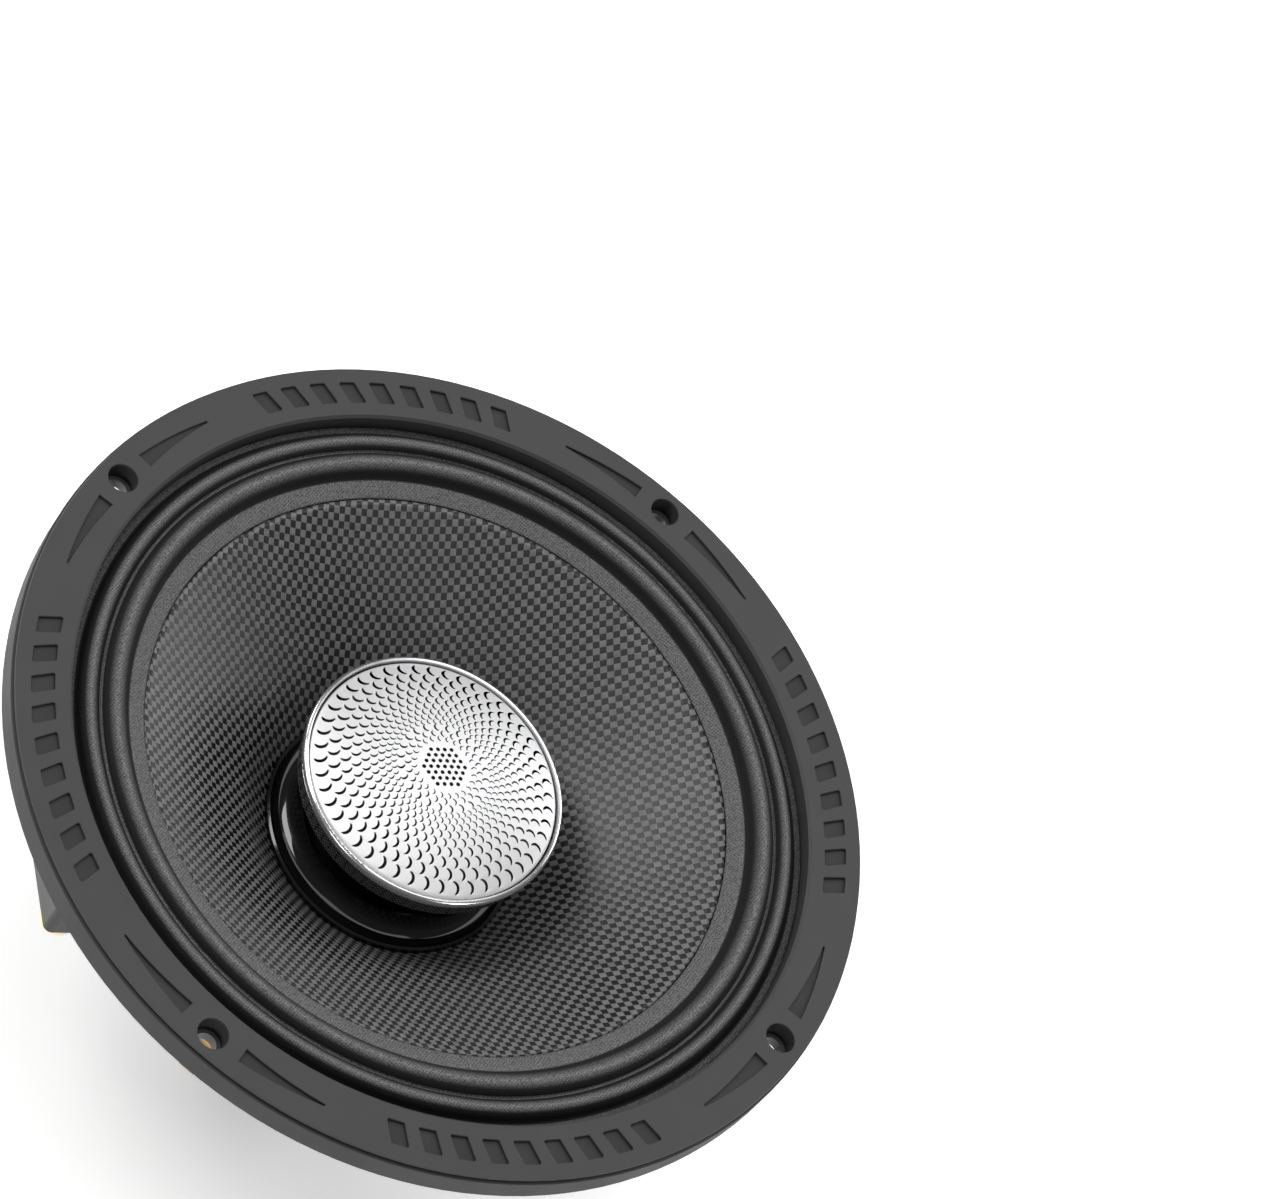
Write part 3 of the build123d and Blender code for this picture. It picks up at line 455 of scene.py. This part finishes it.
# ---------------------------------------------------------------- mesh helpers
def new_piece(name, points, faces, slot_name):
    """A smooth-shaded mesh object from points in millimetres."""
    mesh = bpy.data.meshes.new(name)
    mesh.from_pydata([(x * MM, y * MM, z * MM) for x, y, z in points], [], faces)
    mesh.validate()
    mesh.shade_smooth()
    mesh.materials.append(MATERIALS[slot_name])
    piece = bpy.data.objects.new(name, mesh)
    bpy.context.scene.collection.objects.link(piece)
    return piece


def with_modifier(piece, kind, **values):
    """Add a modifier and apply it to the mesh."""
    modifier = piece.modifiers.new(kind.lower(), kind)
    for key, value in values.items():
        setattr(modifier, key, value)
    shaped = piece.evaluated_get(bpy.context.evaluated_depsgraph_get())
    mesh = bpy.data.meshes.new_from_object(shaped)
    piece.modifiers.clear()
    piece.data = mesh


def turned(outline, steps):
    """Points and faces of a closed outline of radius and height, turned about the axis."""
    points = []
    for step in range(steps):
        angle = 2 * math.pi * step / steps
        for radius, height in outline:
            points.append((radius * math.cos(angle), radius * math.sin(angle), height))
    count = len(outline)
    faces = []
    for step in range(steps):
        here = step * count
        there = (step + 1) % steps * count
        for place in range(count):
            after = (place + 1) % count
            faces.append((here + place, there + place, there + after, here + after))
    return points, faces


def spline_through(points, spacing):
    """Points at about even spacing on a smooth curve through the given points."""
    padded = [np.array(p, float) for p in [points[0], *points, points[-1]]]
    padded[0] = 2 * padded[1] - padded[2]
    padded[-1] = 2 * padded[-2] - padded[-3]
    line = []
    for before, start, end, after in zip(padded, padded[1:], padded[2:], padded[3:]):
        pieces = max(1, round(float(np.linalg.norm(end - start)) / spacing))
        for step in range(pieces):
            t = step / pieces
            square = 2 * before - 5 * start + 4 * end - after
            cube = 3 * start - before - 3 * end + after
            line.append(0.5 * (2 * start + (end - before) * t + square * t ** 2 + cube * t ** 3))
    line.append(padded[-2])
    return line


def blend_by_radius(piece):
    """Bake a piece's placement into its mesh points.
    """
    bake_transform(piece)


# ---------------------------------------------------------------- surround: a double cloth roll
SURROUND_T = 0.5
ROLL_EDGES = (69.6, 65.55, 60.5)
ROLL_BASE_Z = 3.0
ROLL_RISES = (1.8, 2.2)
ROLL_STEPS = 24
BEAD_RISE = 0.5
BEAD_HALF_WIDTH = 0.12
BEAD_FOOT_Z = ROLL_BASE_Z + 0.1
LAND_LINE = [(71.4, 2.7), (70.8, 2.7), (70.2, 2.7), (69.9, 2.72), (69.7, 2.85)]
BAND_LINE = [(60.4, 2.92), (60.1, 2.8), (59.5, 2.6), (58.6, 2.28), (57.6, 1.95), (57.0, 1.77), (56.75, 1.6)]


def roll_height(radius):
    """Height of the cloth's upper face at a radius between the rolls' edges."""
    for outer, inner, rise in zip(ROLL_EDGES, ROLL_EDGES[1:], ROLL_RISES):
        if inner <= radius <= outer:
            middle = (outer + inner) / 2
            half = (outer - inner) / 2
            bulge = (half ** 2 + rise ** 2) / (2 * rise)
            return ROLL_BASE_Z + math.sqrt(bulge ** 2 - (radius - middle) ** 2) - (bulge - rise)
    return ROLL_BASE_Z


def surround_top():
    """The upper line of the cloth, from the land on the flange in to the band on the cone."""
    line = list(LAND_LINE)
    for outer, inner in zip(ROLL_EDGES, ROLL_EDGES[1:]):
        for step in range(1, ROLL_STEPS):
            radius = outer + (inner - outer) * step / ROLL_STEPS
            line.append((radius, roll_height(radius)))
        if inner == ROLL_EDGES[1]:
            line += [(inner + BEAD_HALF_WIDTH, BEAD_FOOT_Z), (inner, ROLL_BASE_Z + BEAD_RISE),
                     (inner - BEAD_HALF_WIDTH, BEAD_FOOT_Z)]
    return line + BAND_LINE


def make_surround():
    top = surround_top()
    under = [(radius, height - SURROUND_T) for radius, height in reversed(top[:-1])]
    piece = new_piece("surround_roll", *turned(top + under, 360), "surround_cloth")
    blend_by_radius(piece)
    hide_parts("surround")


make_surround()


# ---------------------------------------------------------------- cone
CONE_FRONT = [(56.55, 1.55), (45.0, -6.4), (32.9, -15.0), (26.0, -21.7), (19.2, -28.8)]
CONE_BACK = [(19.2, -29.6), (26.0, -22.5), (32.9, -15.9), (45.0, -7.3), (56.9, 0.4)]
CONE_LIP = [(60.1, 1.85), (60.15, 2.3), (56.6, 0.9)]
CONE_STEP = 1.2


def make_cone():
    sides = spline_through(CONE_FRONT, CONE_STEP) + spline_through(CONE_BACK, CONE_STEP)
    outline = [tuple(point) for point in sides] + CONE_LIP
    piece = new_piece("woven_cone", *turned(outline, 288), "cone_weave")
    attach(piece, "cone_assembly")
    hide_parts("cone")


make_cone()

# ---------------------------------------------------------------- spider and the leads laid on it
SPIDER_Z = -31.0
SPIDER_T = 0.5
WAVE_START, WAVE_END = 21.0, 45.0
WAVE_PITCH = 6.0
WAVE_RISE = 1.1
WAVE_STEP = 0.25


def wave_height(radius):
    """Mid height of the corrugated cloth at a radius."""
    if radius <= WAVE_START or radius >= WAVE_END:
        return SPIDER_Z
    return SPIDER_Z + WAVE_RISE * math.sin(2 * math.pi * (radius - WAVE_START) / WAVE_PITCH)


def make_spider():
    wave_count = round((WAVE_END - WAVE_START) / WAVE_STEP) + 1
    waves = [WAVE_END - WAVE_STEP * step for step in range(wave_count)]
    radii = [49.6, 48.0, 46.5, *waves, 20.4, 19.4]
    top = [(radius, wave_height(radius) + SPIDER_T / 2) for radius in radii]
    under = [(radius, wave_height(radius) - (SPIDER_T / 4 if radius > WAVE_END else SPIDER_T / 2))
             for radius in reversed(radii)]
    piece = new_piece("spider_cloth_ring", *turned(top + under, 240), "spider_cloth")
    blend_by_radius(piece)
    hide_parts("spider")


LEAD_Y = 5.0
LEAD_HALF_WIDTH = 1.5
LEAD_HALF_THICKNESS = 0.25
LEAD_LIFT = 1.1
LEAD_SIDES = 16
LEAD_START = (-19.6, SPIDER_Z + LEAD_LIFT)
LEAD_TAIL = [(-46.6, -29.9), (-48.5, -30.3), (-50.9, -27.4), (-53.5, -24.2)]


def lead_line():
    """The middle line of a lead, as X and Z: from the neck over the rolls and up to its lug."""
    radii = [WAVE_START + 0.5 * step for step in range(1, 49)]
    waves = [(-math.sqrt(radius ** 2 - LEAD_Y ** 2), wave_height(radius) + LEAD_LIFT) for radius in radii]
    return spline_through([LEAD_START, *waves, *LEAD_TAIL], 0.3)


def lead_section(width, thickness, count):
    """A flat ribbon's rounded section."""
    ring = []
    for step in range(count):
        angle = 2 * math.pi * step / count
        side, rise = math.cos(angle), math.sin(angle)
        ring.append((width * math.copysign(abs(side) ** 0.5, side),
                     thickness * math.copysign(abs(rise) ** 0.8, rise)))
    return ring


def make_lead(name, side):
    line = lead_line()
    ring = lead_section(LEAD_HALF_WIDTH, LEAD_HALF_THICKNESS, LEAD_SIDES)
    points, faces = [], []
    for place, here in enumerate(line):
        before = line[max(place - 1, 0)]
        after = line[min(place + 1, len(line) - 1)]
        run = (after - before) / np.linalg.norm(after - before)
        for across, rise in ring:
            points.append((here[0] + run[1] * rise, side * LEAD_Y + across, here[1] - run[0] * rise))
    count = len(ring)
    for place in range(len(line) - 1):
        for step in range(count):
            after = (step + 1) % count
            here = place * count
            faces.append((here + step, here + after, here + count + after, here + count + step))
    faces.append(tuple(reversed(range(count))))
    faces.append(tuple(range((len(line) - 1) * count, len(line) * count)))
    piece = new_piece(name + "_braid", points, faces, "tinsel_copper")
    blend_by_radius(piece)
    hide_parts(name)


make_spider()
make_lead("tinsel_lead_left", 1)
make_lead("tinsel_lead_right", -1)

# ---------------------------------------------------------------- tweeter grille: rings of crescent louvres
GRILLE_R = 24.2
CROWN_Z = 3.0
GRILLE_EDGE_Z = -2.2
GRILLE_T = 0.12
DOME_R = (GRILLE_R ** 2 + (CROWN_Z - GRILLE_EDGE_Z) ** 2) / (2 * (CROWN_Z - GRILLE_EDGE_Z))
OUTER_RING_R = 22.2
OUTER_RINGS, OUTER_COUNT, OUTER_RATIO = 9, 48, 0.9
INNER_RINGS, INNER_COUNT, INNER_RATIO = 3, 24, 0.84
SIDE_STEPS = 6
GRILLE_RIM = [(24.1, -0.55), (24.08, -0.22), (24.0, -0.07), (23.85, 0.0)]
LOUVRE_SHARES = (0.4, 0.78, 1.0)
FULL_CELL_HEIGHT = 2.19
CRESCENT_TILT = math.radians(11)
CRESCENT_R = 1.05
CRESCENT_SWEEP = math.radians(75)
CRESCENT_HALF_WIDTH = 0.29
CRESCENT_SHIFT = 0.77
CRESCENT_TAPER = 0.6
HOOD_RISE = 0.06
BELLY_SINK = 0.35
HOLE_PITCH = 1.35
HOLE_R = 0.42
HOLE_RINGS = 3
HOLE_SIDES = 14


def dome_z(radius):
    """Height of the grille's dome at a radius."""
    return CROWN_Z - DOME_R + math.sqrt(DOME_R ** 2 - radius ** 2)


def cell_border(half_across, across_steps):
    """Points round a cell's border, clockwise from the middle of its outer side.

    The first number is an angle round the axis, and the second goes from 1 outside to -1 inside."""
    half_steps = across_steps // 2
    border = [(step / half_steps, 1.0) for step in range(half_steps)]
    border += [(1.0, 1.0 - 2 * step / SIDE_STEPS) for step in range(SIDE_STEPS)]
    border += [(1.0 - step / half_steps, -1.0) for step in range(across_steps)]
    border += [(-1.0, -1.0 + 2 * step / SIDE_STEPS) for step in range(SIDE_STEPS)]
    border += [(-1.0 + step / half_steps, 1.0) for step in range(half_steps)]
    return [(across * half_across, up) for across, up in border]


def crescent(scale, count):
    """Points round a crescent hole, from its outer tip down the belly and back up the hollow side."""
    half = count // 2
    loop = []
    for side in (1, -1):
        for step in range(half):
            share = side * math.cos(math.pi * step / half)
            angle = share * CRESCENT_SWEEP
            width = CRESCENT_HALF_WIDTH * (1 - share * share) ** CRESCENT_TAPER
            reach = CRESCENT_R + side * width
            across = (reach * math.cos(angle) - CRESCENT_SHIFT) * scale
            up = reach * math.sin(angle) * scale
            loop.append((across * math.cos(CRESCENT_TILT) + up * math.sin(CRESCENT_TILT),
                         up * math.cos(CRESCENT_TILT) - across * math.sin(CRESCENT_TILT)))
    return loop


class DomeMesh:
    """Points laid on the dome, shared where they fall together."""

    def __init__(self):
        self.points = []
        self.faces = []
        self.known = {}

    def point(self, radius, angle, lift=0.0):
        """The index of a point on the dome, lifted off it."""
        x, y = radius * math.cos(angle), radius * math.sin(angle)
        key = (round(x, 3), round(y, 3), round(lift, 3))
        if key not in self.known:
            self.known[key] = len(self.points)
            self.points.append((x, y, dome_z(radius) + lift))
        return self.known[key]

    def strip(self, outer, inner):
        """Faces between two loops with the same count of points, the first outside the second."""
        for place in range(len(outer)):
            after = (place + 1) % len(outer)
            self.faces.append((outer[place], outer[after], inner[after], inner[place]))


def add_louvre(dome, radius, angle, half_up_ratio, across_steps, pitch_angle):
    """One cell with its crescent hole and the pressed hood on the hollow side."""
    outer_r, inner_r = radius / half_up_ratio, radius * half_up_ratio
    border = cell_border(pitch_angle / 2, across_steps)
    scale = (outer_r - inner_r) / FULL_CELL_HEIGHT
    hole = crescent(scale, len(border))
    border_loop, edges = [], []
    for across, up in border:
        border_r = radius * half_up_ratio ** (-up)
        border_loop.append(dome.point(border_r, angle + across))
        edges.append((across * radius, border_r - radius))
    loops = []
    for share in LOUVRE_SHARES:
        loop = []
        for place, (edge, rim) in enumerate(zip(edges, hole)):
            across = edge[0] + (rim[0] - edge[0]) * share
            up = edge[1] + (rim[1] - edge[1]) * share
            hollow_side = place > len(hole) // 2
            step = (place % (len(hole) // 2)) / (len(hole) // 2)
            rise = math.sin(math.pi * step) * share ** 1.5
            lift = HOOD_RISE * scale * rise * (1.0 if hollow_side else -BELLY_SINK)
            loop.append(dome.point(radius + up, angle + across / radius, lift))
        loops.append(loop)
    for outer, inner in zip([border_loop, *loops], loops):
        dome.strip(outer, inner)


def add_centre(dome, radius, count):
    """The crown inside the louvres, with its cluster of round holes."""
    flat = [(radius * math.cos(2 * math.pi * step / count), radius * math.sin(2 * math.pi * step / count))
            for step in range(count)]
    outlines = [list(range(count))]
    centres = []
    for row in range(-HOLE_RINGS, HOLE_RINGS + 1):
        across = 2 * HOLE_RINGS + 1 - abs(row)
        for place in range(across):
            centre = ((place - (across - 1) / 2) * HOLE_PITCH, row * HOLE_PITCH * math.sqrt(3) / 2)
            centres.append(centre)
            first = len(flat)
            for step in range(HOLE_SIDES):
                angle = 2 * math.pi * step / HOLE_SIDES
                flat.append((centre[0] + HOLE_R * math.cos(angle), centre[1] + HOLE_R * math.sin(angle)))
            outlines.append(list(range(first, first + HOLE_SIDES)))
    edges = []
    for line in outlines:
        edges += list(zip(line, line[1:] + line[:1]))
    made = delaunay_2d_cdt([Vector(point) for point in flat], edges, [], 0, 1e-6)
    spots, triangles = made[0], made[2]
    indices = [dome.point(spot.length, math.atan2(spot.y, spot.x)) for spot in spots]
    for triangle in triangles:
        middle = sum((spots[place] for place in triangle), Vector((0, 0))) / 3
        if all((middle - Vector(centre)).length > HOLE_R * 0.9 for centre in centres):
            dome.faces.append(tuple(indices[place] for place in triangle))


def make_grille():
    dome = DomeMesh()
    half_ratio = math.sqrt(OUTER_RATIO)
    rim_count = OUTER_COUNT * SIDE_STEPS
    pitch = 2 * math.pi / OUTER_COUNT
    start = -pitch / 2
    rings = []
    for radius, lift in [*GRILLE_RIM, (OUTER_RING_R / half_ratio, 0.0)]:
        rings.append([dome.point(radius, start + 2 * math.pi * step / rim_count, lift)
                      for step in range(rim_count)])
    for outer, inner in zip(rings, rings[1:]):
        dome.strip(outer, inner)
    for ring in range(OUTER_RINGS):
        radius = OUTER_RING_R * OUTER_RATIO ** ring
        for place in range(OUTER_COUNT):
            angle = pitch * (place + (ring % 2) / 2)
            add_louvre(dome, radius, angle, half_ratio, SIDE_STEPS, pitch)
    border = OUTER_RING_R * OUTER_RATIO ** (OUTER_RINGS - 1) * half_ratio
    half_ratio = math.sqrt(INNER_RATIO)
    for ring in range(INNER_RINGS):
        radius = border * half_ratio * INNER_RATIO ** ring
        for place in range(INNER_COUNT):
            angle = 2 * pitch * (place + (ring % 2) / 2)
            add_louvre(dome, radius, angle, half_ratio, 2 * SIDE_STEPS, 2 * pitch)
    add_centre(dome, border * INNER_RATIO ** INNER_RINGS, rim_count)
    piece = new_piece("louvre_grille", dome.points, dome.faces, "grille_silver")
    # Painted shade: the grille's underside and the cut edges of its holes take the black plastic finish, so
    # the holes read black.
    piece.data.materials.append(MATERIALS["satin_black_plastic"])
    with_modifier(piece, "SOLIDIFY", thickness=GRILLE_T * MM, offset=-1.0, material_offset=1,
                  material_offset_rim=1)
    piece.data.set_sharp_from_angle(angle=math.radians(35))
    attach(piece, "frame")
    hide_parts("tweeter_grille")


make_grille()

# ---------------------------------------------------------------- accent strips on the legs
STRIP_LINE = [(69.9, -4.4), (66.0, -18.2), (61.8, -27.4), (53.0, -38.6)]
STRIP_RISE = 1.9
STRIP_DEPTH = 1.5
STRIP_HALF_ANGLE = 5.0
STRIP_STEP = 0.16
FACE_STEPS = 44
STRIP_TOP_Z, STRIP_BOTTOM_Z = -5.7, -38.2
STRIP_SLANT = 2.6
FACE_SHARE = 0.66
BAR_COUNT = 8
BAR_START, BAR_PITCH = 4.2, 2.75
BAR_LONG, BAR_WIDE, BAR_SLANT = 1.75, 3.4, 0.8
BAR_RISE = 0.75
PAD_PLACE, PAD_R, PAD_RISE = 30.0, 2.3, 0.7
PAD_BULGE = 1.25
END_START, END_STOP = 1.4, 0.2
TOP_ROUND = 0.5
# A strip's section from its back edge up to its face: the share of the half width, and the rise.
EDGE_SHARES = [-1.0, -1.0, -0.985, -0.94, -0.82]
EDGE_RISES = [-STRIP_DEPTH, 0.1, 0.6, 1.0, 1.55]
FACE_CROWN = 0.05
FACE_HALF_WIDTH = 4


def strip_line():
    """Radius, height and outward direction along the leg, at even steps."""
    line = spline_through(STRIP_LINE, STRIP_STEP)
    found = []
    for before, here, after in zip(line, line[1:], line[2:]):
        run = (after - before) / np.linalg.norm(after - before)
        if STRIP_BOTTOM_Z <= here[1] <= STRIP_TOP_Z:
            found.append((here[0], here[1], -run[1], run[0]))
    return found


def smooth_step(value, low, high):
    """0 at low and 1 at high, with a soft start and stop."""
    share = min(max((value - low) / (high - low), 0.0), 1.0)
    return share * share * (3 - 2 * share)


def motif_rise(along, across):
    """Relief of the slanted bars and the round pad on a strip's face, at a place along and across it."""
    rise = 0.0
    for bar in range(BAR_COUNT):
        middle = BAR_START + bar * BAR_PITCH
        off = abs(along - middle - across / BAR_WIDE * BAR_SLANT * 2) - BAR_LONG / 2
        end = abs(across) - BAR_WIDE / 2
        rise = max(rise, BAR_RISE * (1 - smooth_step(max(off, end), -0.1, 0.1)))
    distance = math.hypot(along - PAD_PLACE, across)
    crown = math.sqrt(max(0.0, 1 - (distance / (PAD_R * PAD_BULGE)) ** 2))
    return max(rise, PAD_RISE * crown * (1 - smooth_step(distance, PAD_R - 0.25, PAD_R + 0.2)))


def make_strip(number, leg_angle):
    """One gold strip, swept down a leg with its bars and pad raised on the face."""
    line = strip_line()
    half_angle = math.radians(STRIP_HALF_ANGLE)
    face = [FACE_SHARE * (2 * step / FACE_STEPS - 1) for step in range(FACE_STEPS + 1)]
    shares = EDGE_SHARES + face + [-share for share in reversed(EDGE_SHARES)]
    rises = EDGE_RISES + [STRIP_RISE] * len(face) + EDGE_RISES[::-1]
    points, faces = [], []
    count = len(shares)
    for place, (radius, height, out_r, out_z) in enumerate(line):
        along = place * STRIP_STEP
        for share, lift in zip(shares, rises):
            angle = share * half_angle
            across = radius * angle
            end = len(line) * STRIP_STEP - STRIP_SLANT * (share + 1) / 2
            end_drop = smooth_step(along, end - END_START, end - END_STOP)
            top_drop = 1 - smooth_step(along, 0.0, TOP_ROUND)
            rise = lift
            if lift == STRIP_RISE:
                rise += motif_rise(along, across) - FACE_CROWN * (across / FACE_HALF_WIDTH) ** 2
            if lift > 0:
                rise -= (lift + 1.0) * end_drop + 0.5 * top_drop
            reach = radius + out_r * rise
            points.append((reach * math.cos(leg_angle + angle), reach * math.sin(leg_angle + angle),
                           height + out_z * rise))
    for place in range(len(line) - 1):
        for step in range(count):
            after = (step + 1) % count
            here = place * count
            faces.append((here + step, here + count + step, here + count + after, here + after))
    faces.append(tuple(range(count)))
    faces.append(tuple(reversed(range((len(line) - 1) * count, len(line) * count))))
    piece = new_piece(f"accent_strip_{number}_face", points, faces, "accent_gold")
    piece.data.set_sharp_from_angle(angle=math.radians(50))
    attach(piece, "frame")
    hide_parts(f"accent_strip_{number}")


for number, degrees in enumerate((45, 135, 225, 315), start=1):
    make_strip(number, math.radians(degrees))

# ---------------------------------------------------------------- stage, light and camera, in metres
FLOOR_Z = CAD_BOX[0].z
FLOOR_REACH = 6.0
FLOOR_GLOW = 0.35
WORLD_GLOW = 0.16

# Each soft light's name, place, width and power.
SOFT_LIGHTS = [
    ("overhead_soft", (0.0, 0.0, 1.3), 1.2, 8.0),
    ("back_soft", (0.62, 0.6, 1.0), 1.1, 6.5),
    ("left_soft", (-0.75, 0.55, 0.85), 0.6, 9.0)]

# Each side panel's angle round the speaker in degrees, its width and power.
SIDE_PANELS = [(16, 0.5, 6.0), (115, 0.3, 3.2), (205, 0.3, 3.2), (295, 0.3, 3.2)]
PANEL_REACH = 1.15
PANEL_Z = 0.22
PANEL_TALL = 0.7
PANEL_TARGET = (0, 0, -0.04)

# The camera's place and its picture's right, down and forward directions.
CAMERA_PLACE = (-0.3722, -0.3845, 0.7093)
CAMERA_RIGHT = Vector((0.8896, -0.18705, 0.41668))
CAMERA_DOWN = Vector((0.04718, -0.86978, -0.49118))
CAMERA_AHEAD = Vector((0.45429, 0.45661, -0.76494))
CAMERA_LENS = 138.27


def make_floor():
    finish = Finish("stage_white", (0.92, 0.92, 0.92), 0.6)
    finish.set("Base Color", finish.blend(finish.noise(40.0), (0.91, 0.91, 0.91), (0.93, 0.93, 0.93)))
    finish.set("Emission Color", (1.0, 1.0, 1.0))
    finish.set("Emission Strength", FLOOR_GLOW)
    mesh = bpy.data.meshes.new("stage_floor")
    corners = [(FLOOR_REACH * x, FLOOR_REACH * y, FLOOR_Z) for x, y in ((-1, -1), (1, -1), (1, 1), (-1, 1))]
    mesh.from_pydata(corners, [], [(0, 1, 2, 3)])
    mesh.materials.append(finish.material)
    floor = bpy.data.objects.new("stage_floor", mesh)
    bpy.context.scene.collection.objects.link(floor)


def add_light(name, place, target, size, power):
    """A rectangular soft light aimed at a point."""
    lamp = bpy.data.lights.new(name, "AREA")
    lamp.shape = "RECTANGLE"
    lamp.size, lamp.size_y = size
    lamp.energy = power
    light = bpy.data.objects.new(name, lamp)
    light.location = place
    light.rotation_euler = (Vector(target) - Vector(place)).to_track_quat("-Z", "Y").to_euler()
    bpy.context.scene.collection.objects.link(light)


def make_lights():
    for name, place, width, power in SOFT_LIGHTS:
        add_light(name, place, (0, 0, 0), (width, width), power)
    for degrees, width, power in SIDE_PANELS:
        angle = math.radians(degrees)
        place = (PANEL_REACH * math.cos(angle), PANEL_REACH * math.sin(angle), PANEL_Z)
        add_light(f"side_panel_{degrees}", place, PANEL_TARGET, (width, PANEL_TALL), power)


def make_world():
    world = bpy.data.worlds.new("studio")
    world.use_nodes = True
    background = world.node_tree.nodes["Background"]
    background.inputs["Color"].default_value = (1.0, 1.0, 1.0, 1.0)
    background.inputs["Strength"].default_value = WORLD_GLOW
    bpy.context.scene.world = world


def make_camera():
    """The camera stands where the photograph was taken, and leans a little to one side."""
    lens = bpy.data.cameras.new("camera")
    lens.sensor_width = 36.0
    lens.sensor_fit = "HORIZONTAL"
    lens.lens = CAMERA_LENS
    lens.clip_start = 0.01
    camera = bpy.data.objects.new("camera", lens)
    turn = Matrix((CAMERA_RIGHT, -CAMERA_DOWN, -CAMERA_AHEAD)).transposed().to_4x4()
    camera.matrix_world = Matrix.Translation(CAMERA_PLACE) @ turn
    bpy.context.scene.collection.objects.link(camera)
    bpy.context.scene.camera = camera


make_floor()
make_world()
make_lights()
make_camera()
bpy.context.scene.view_settings.view_transform = "Standard"
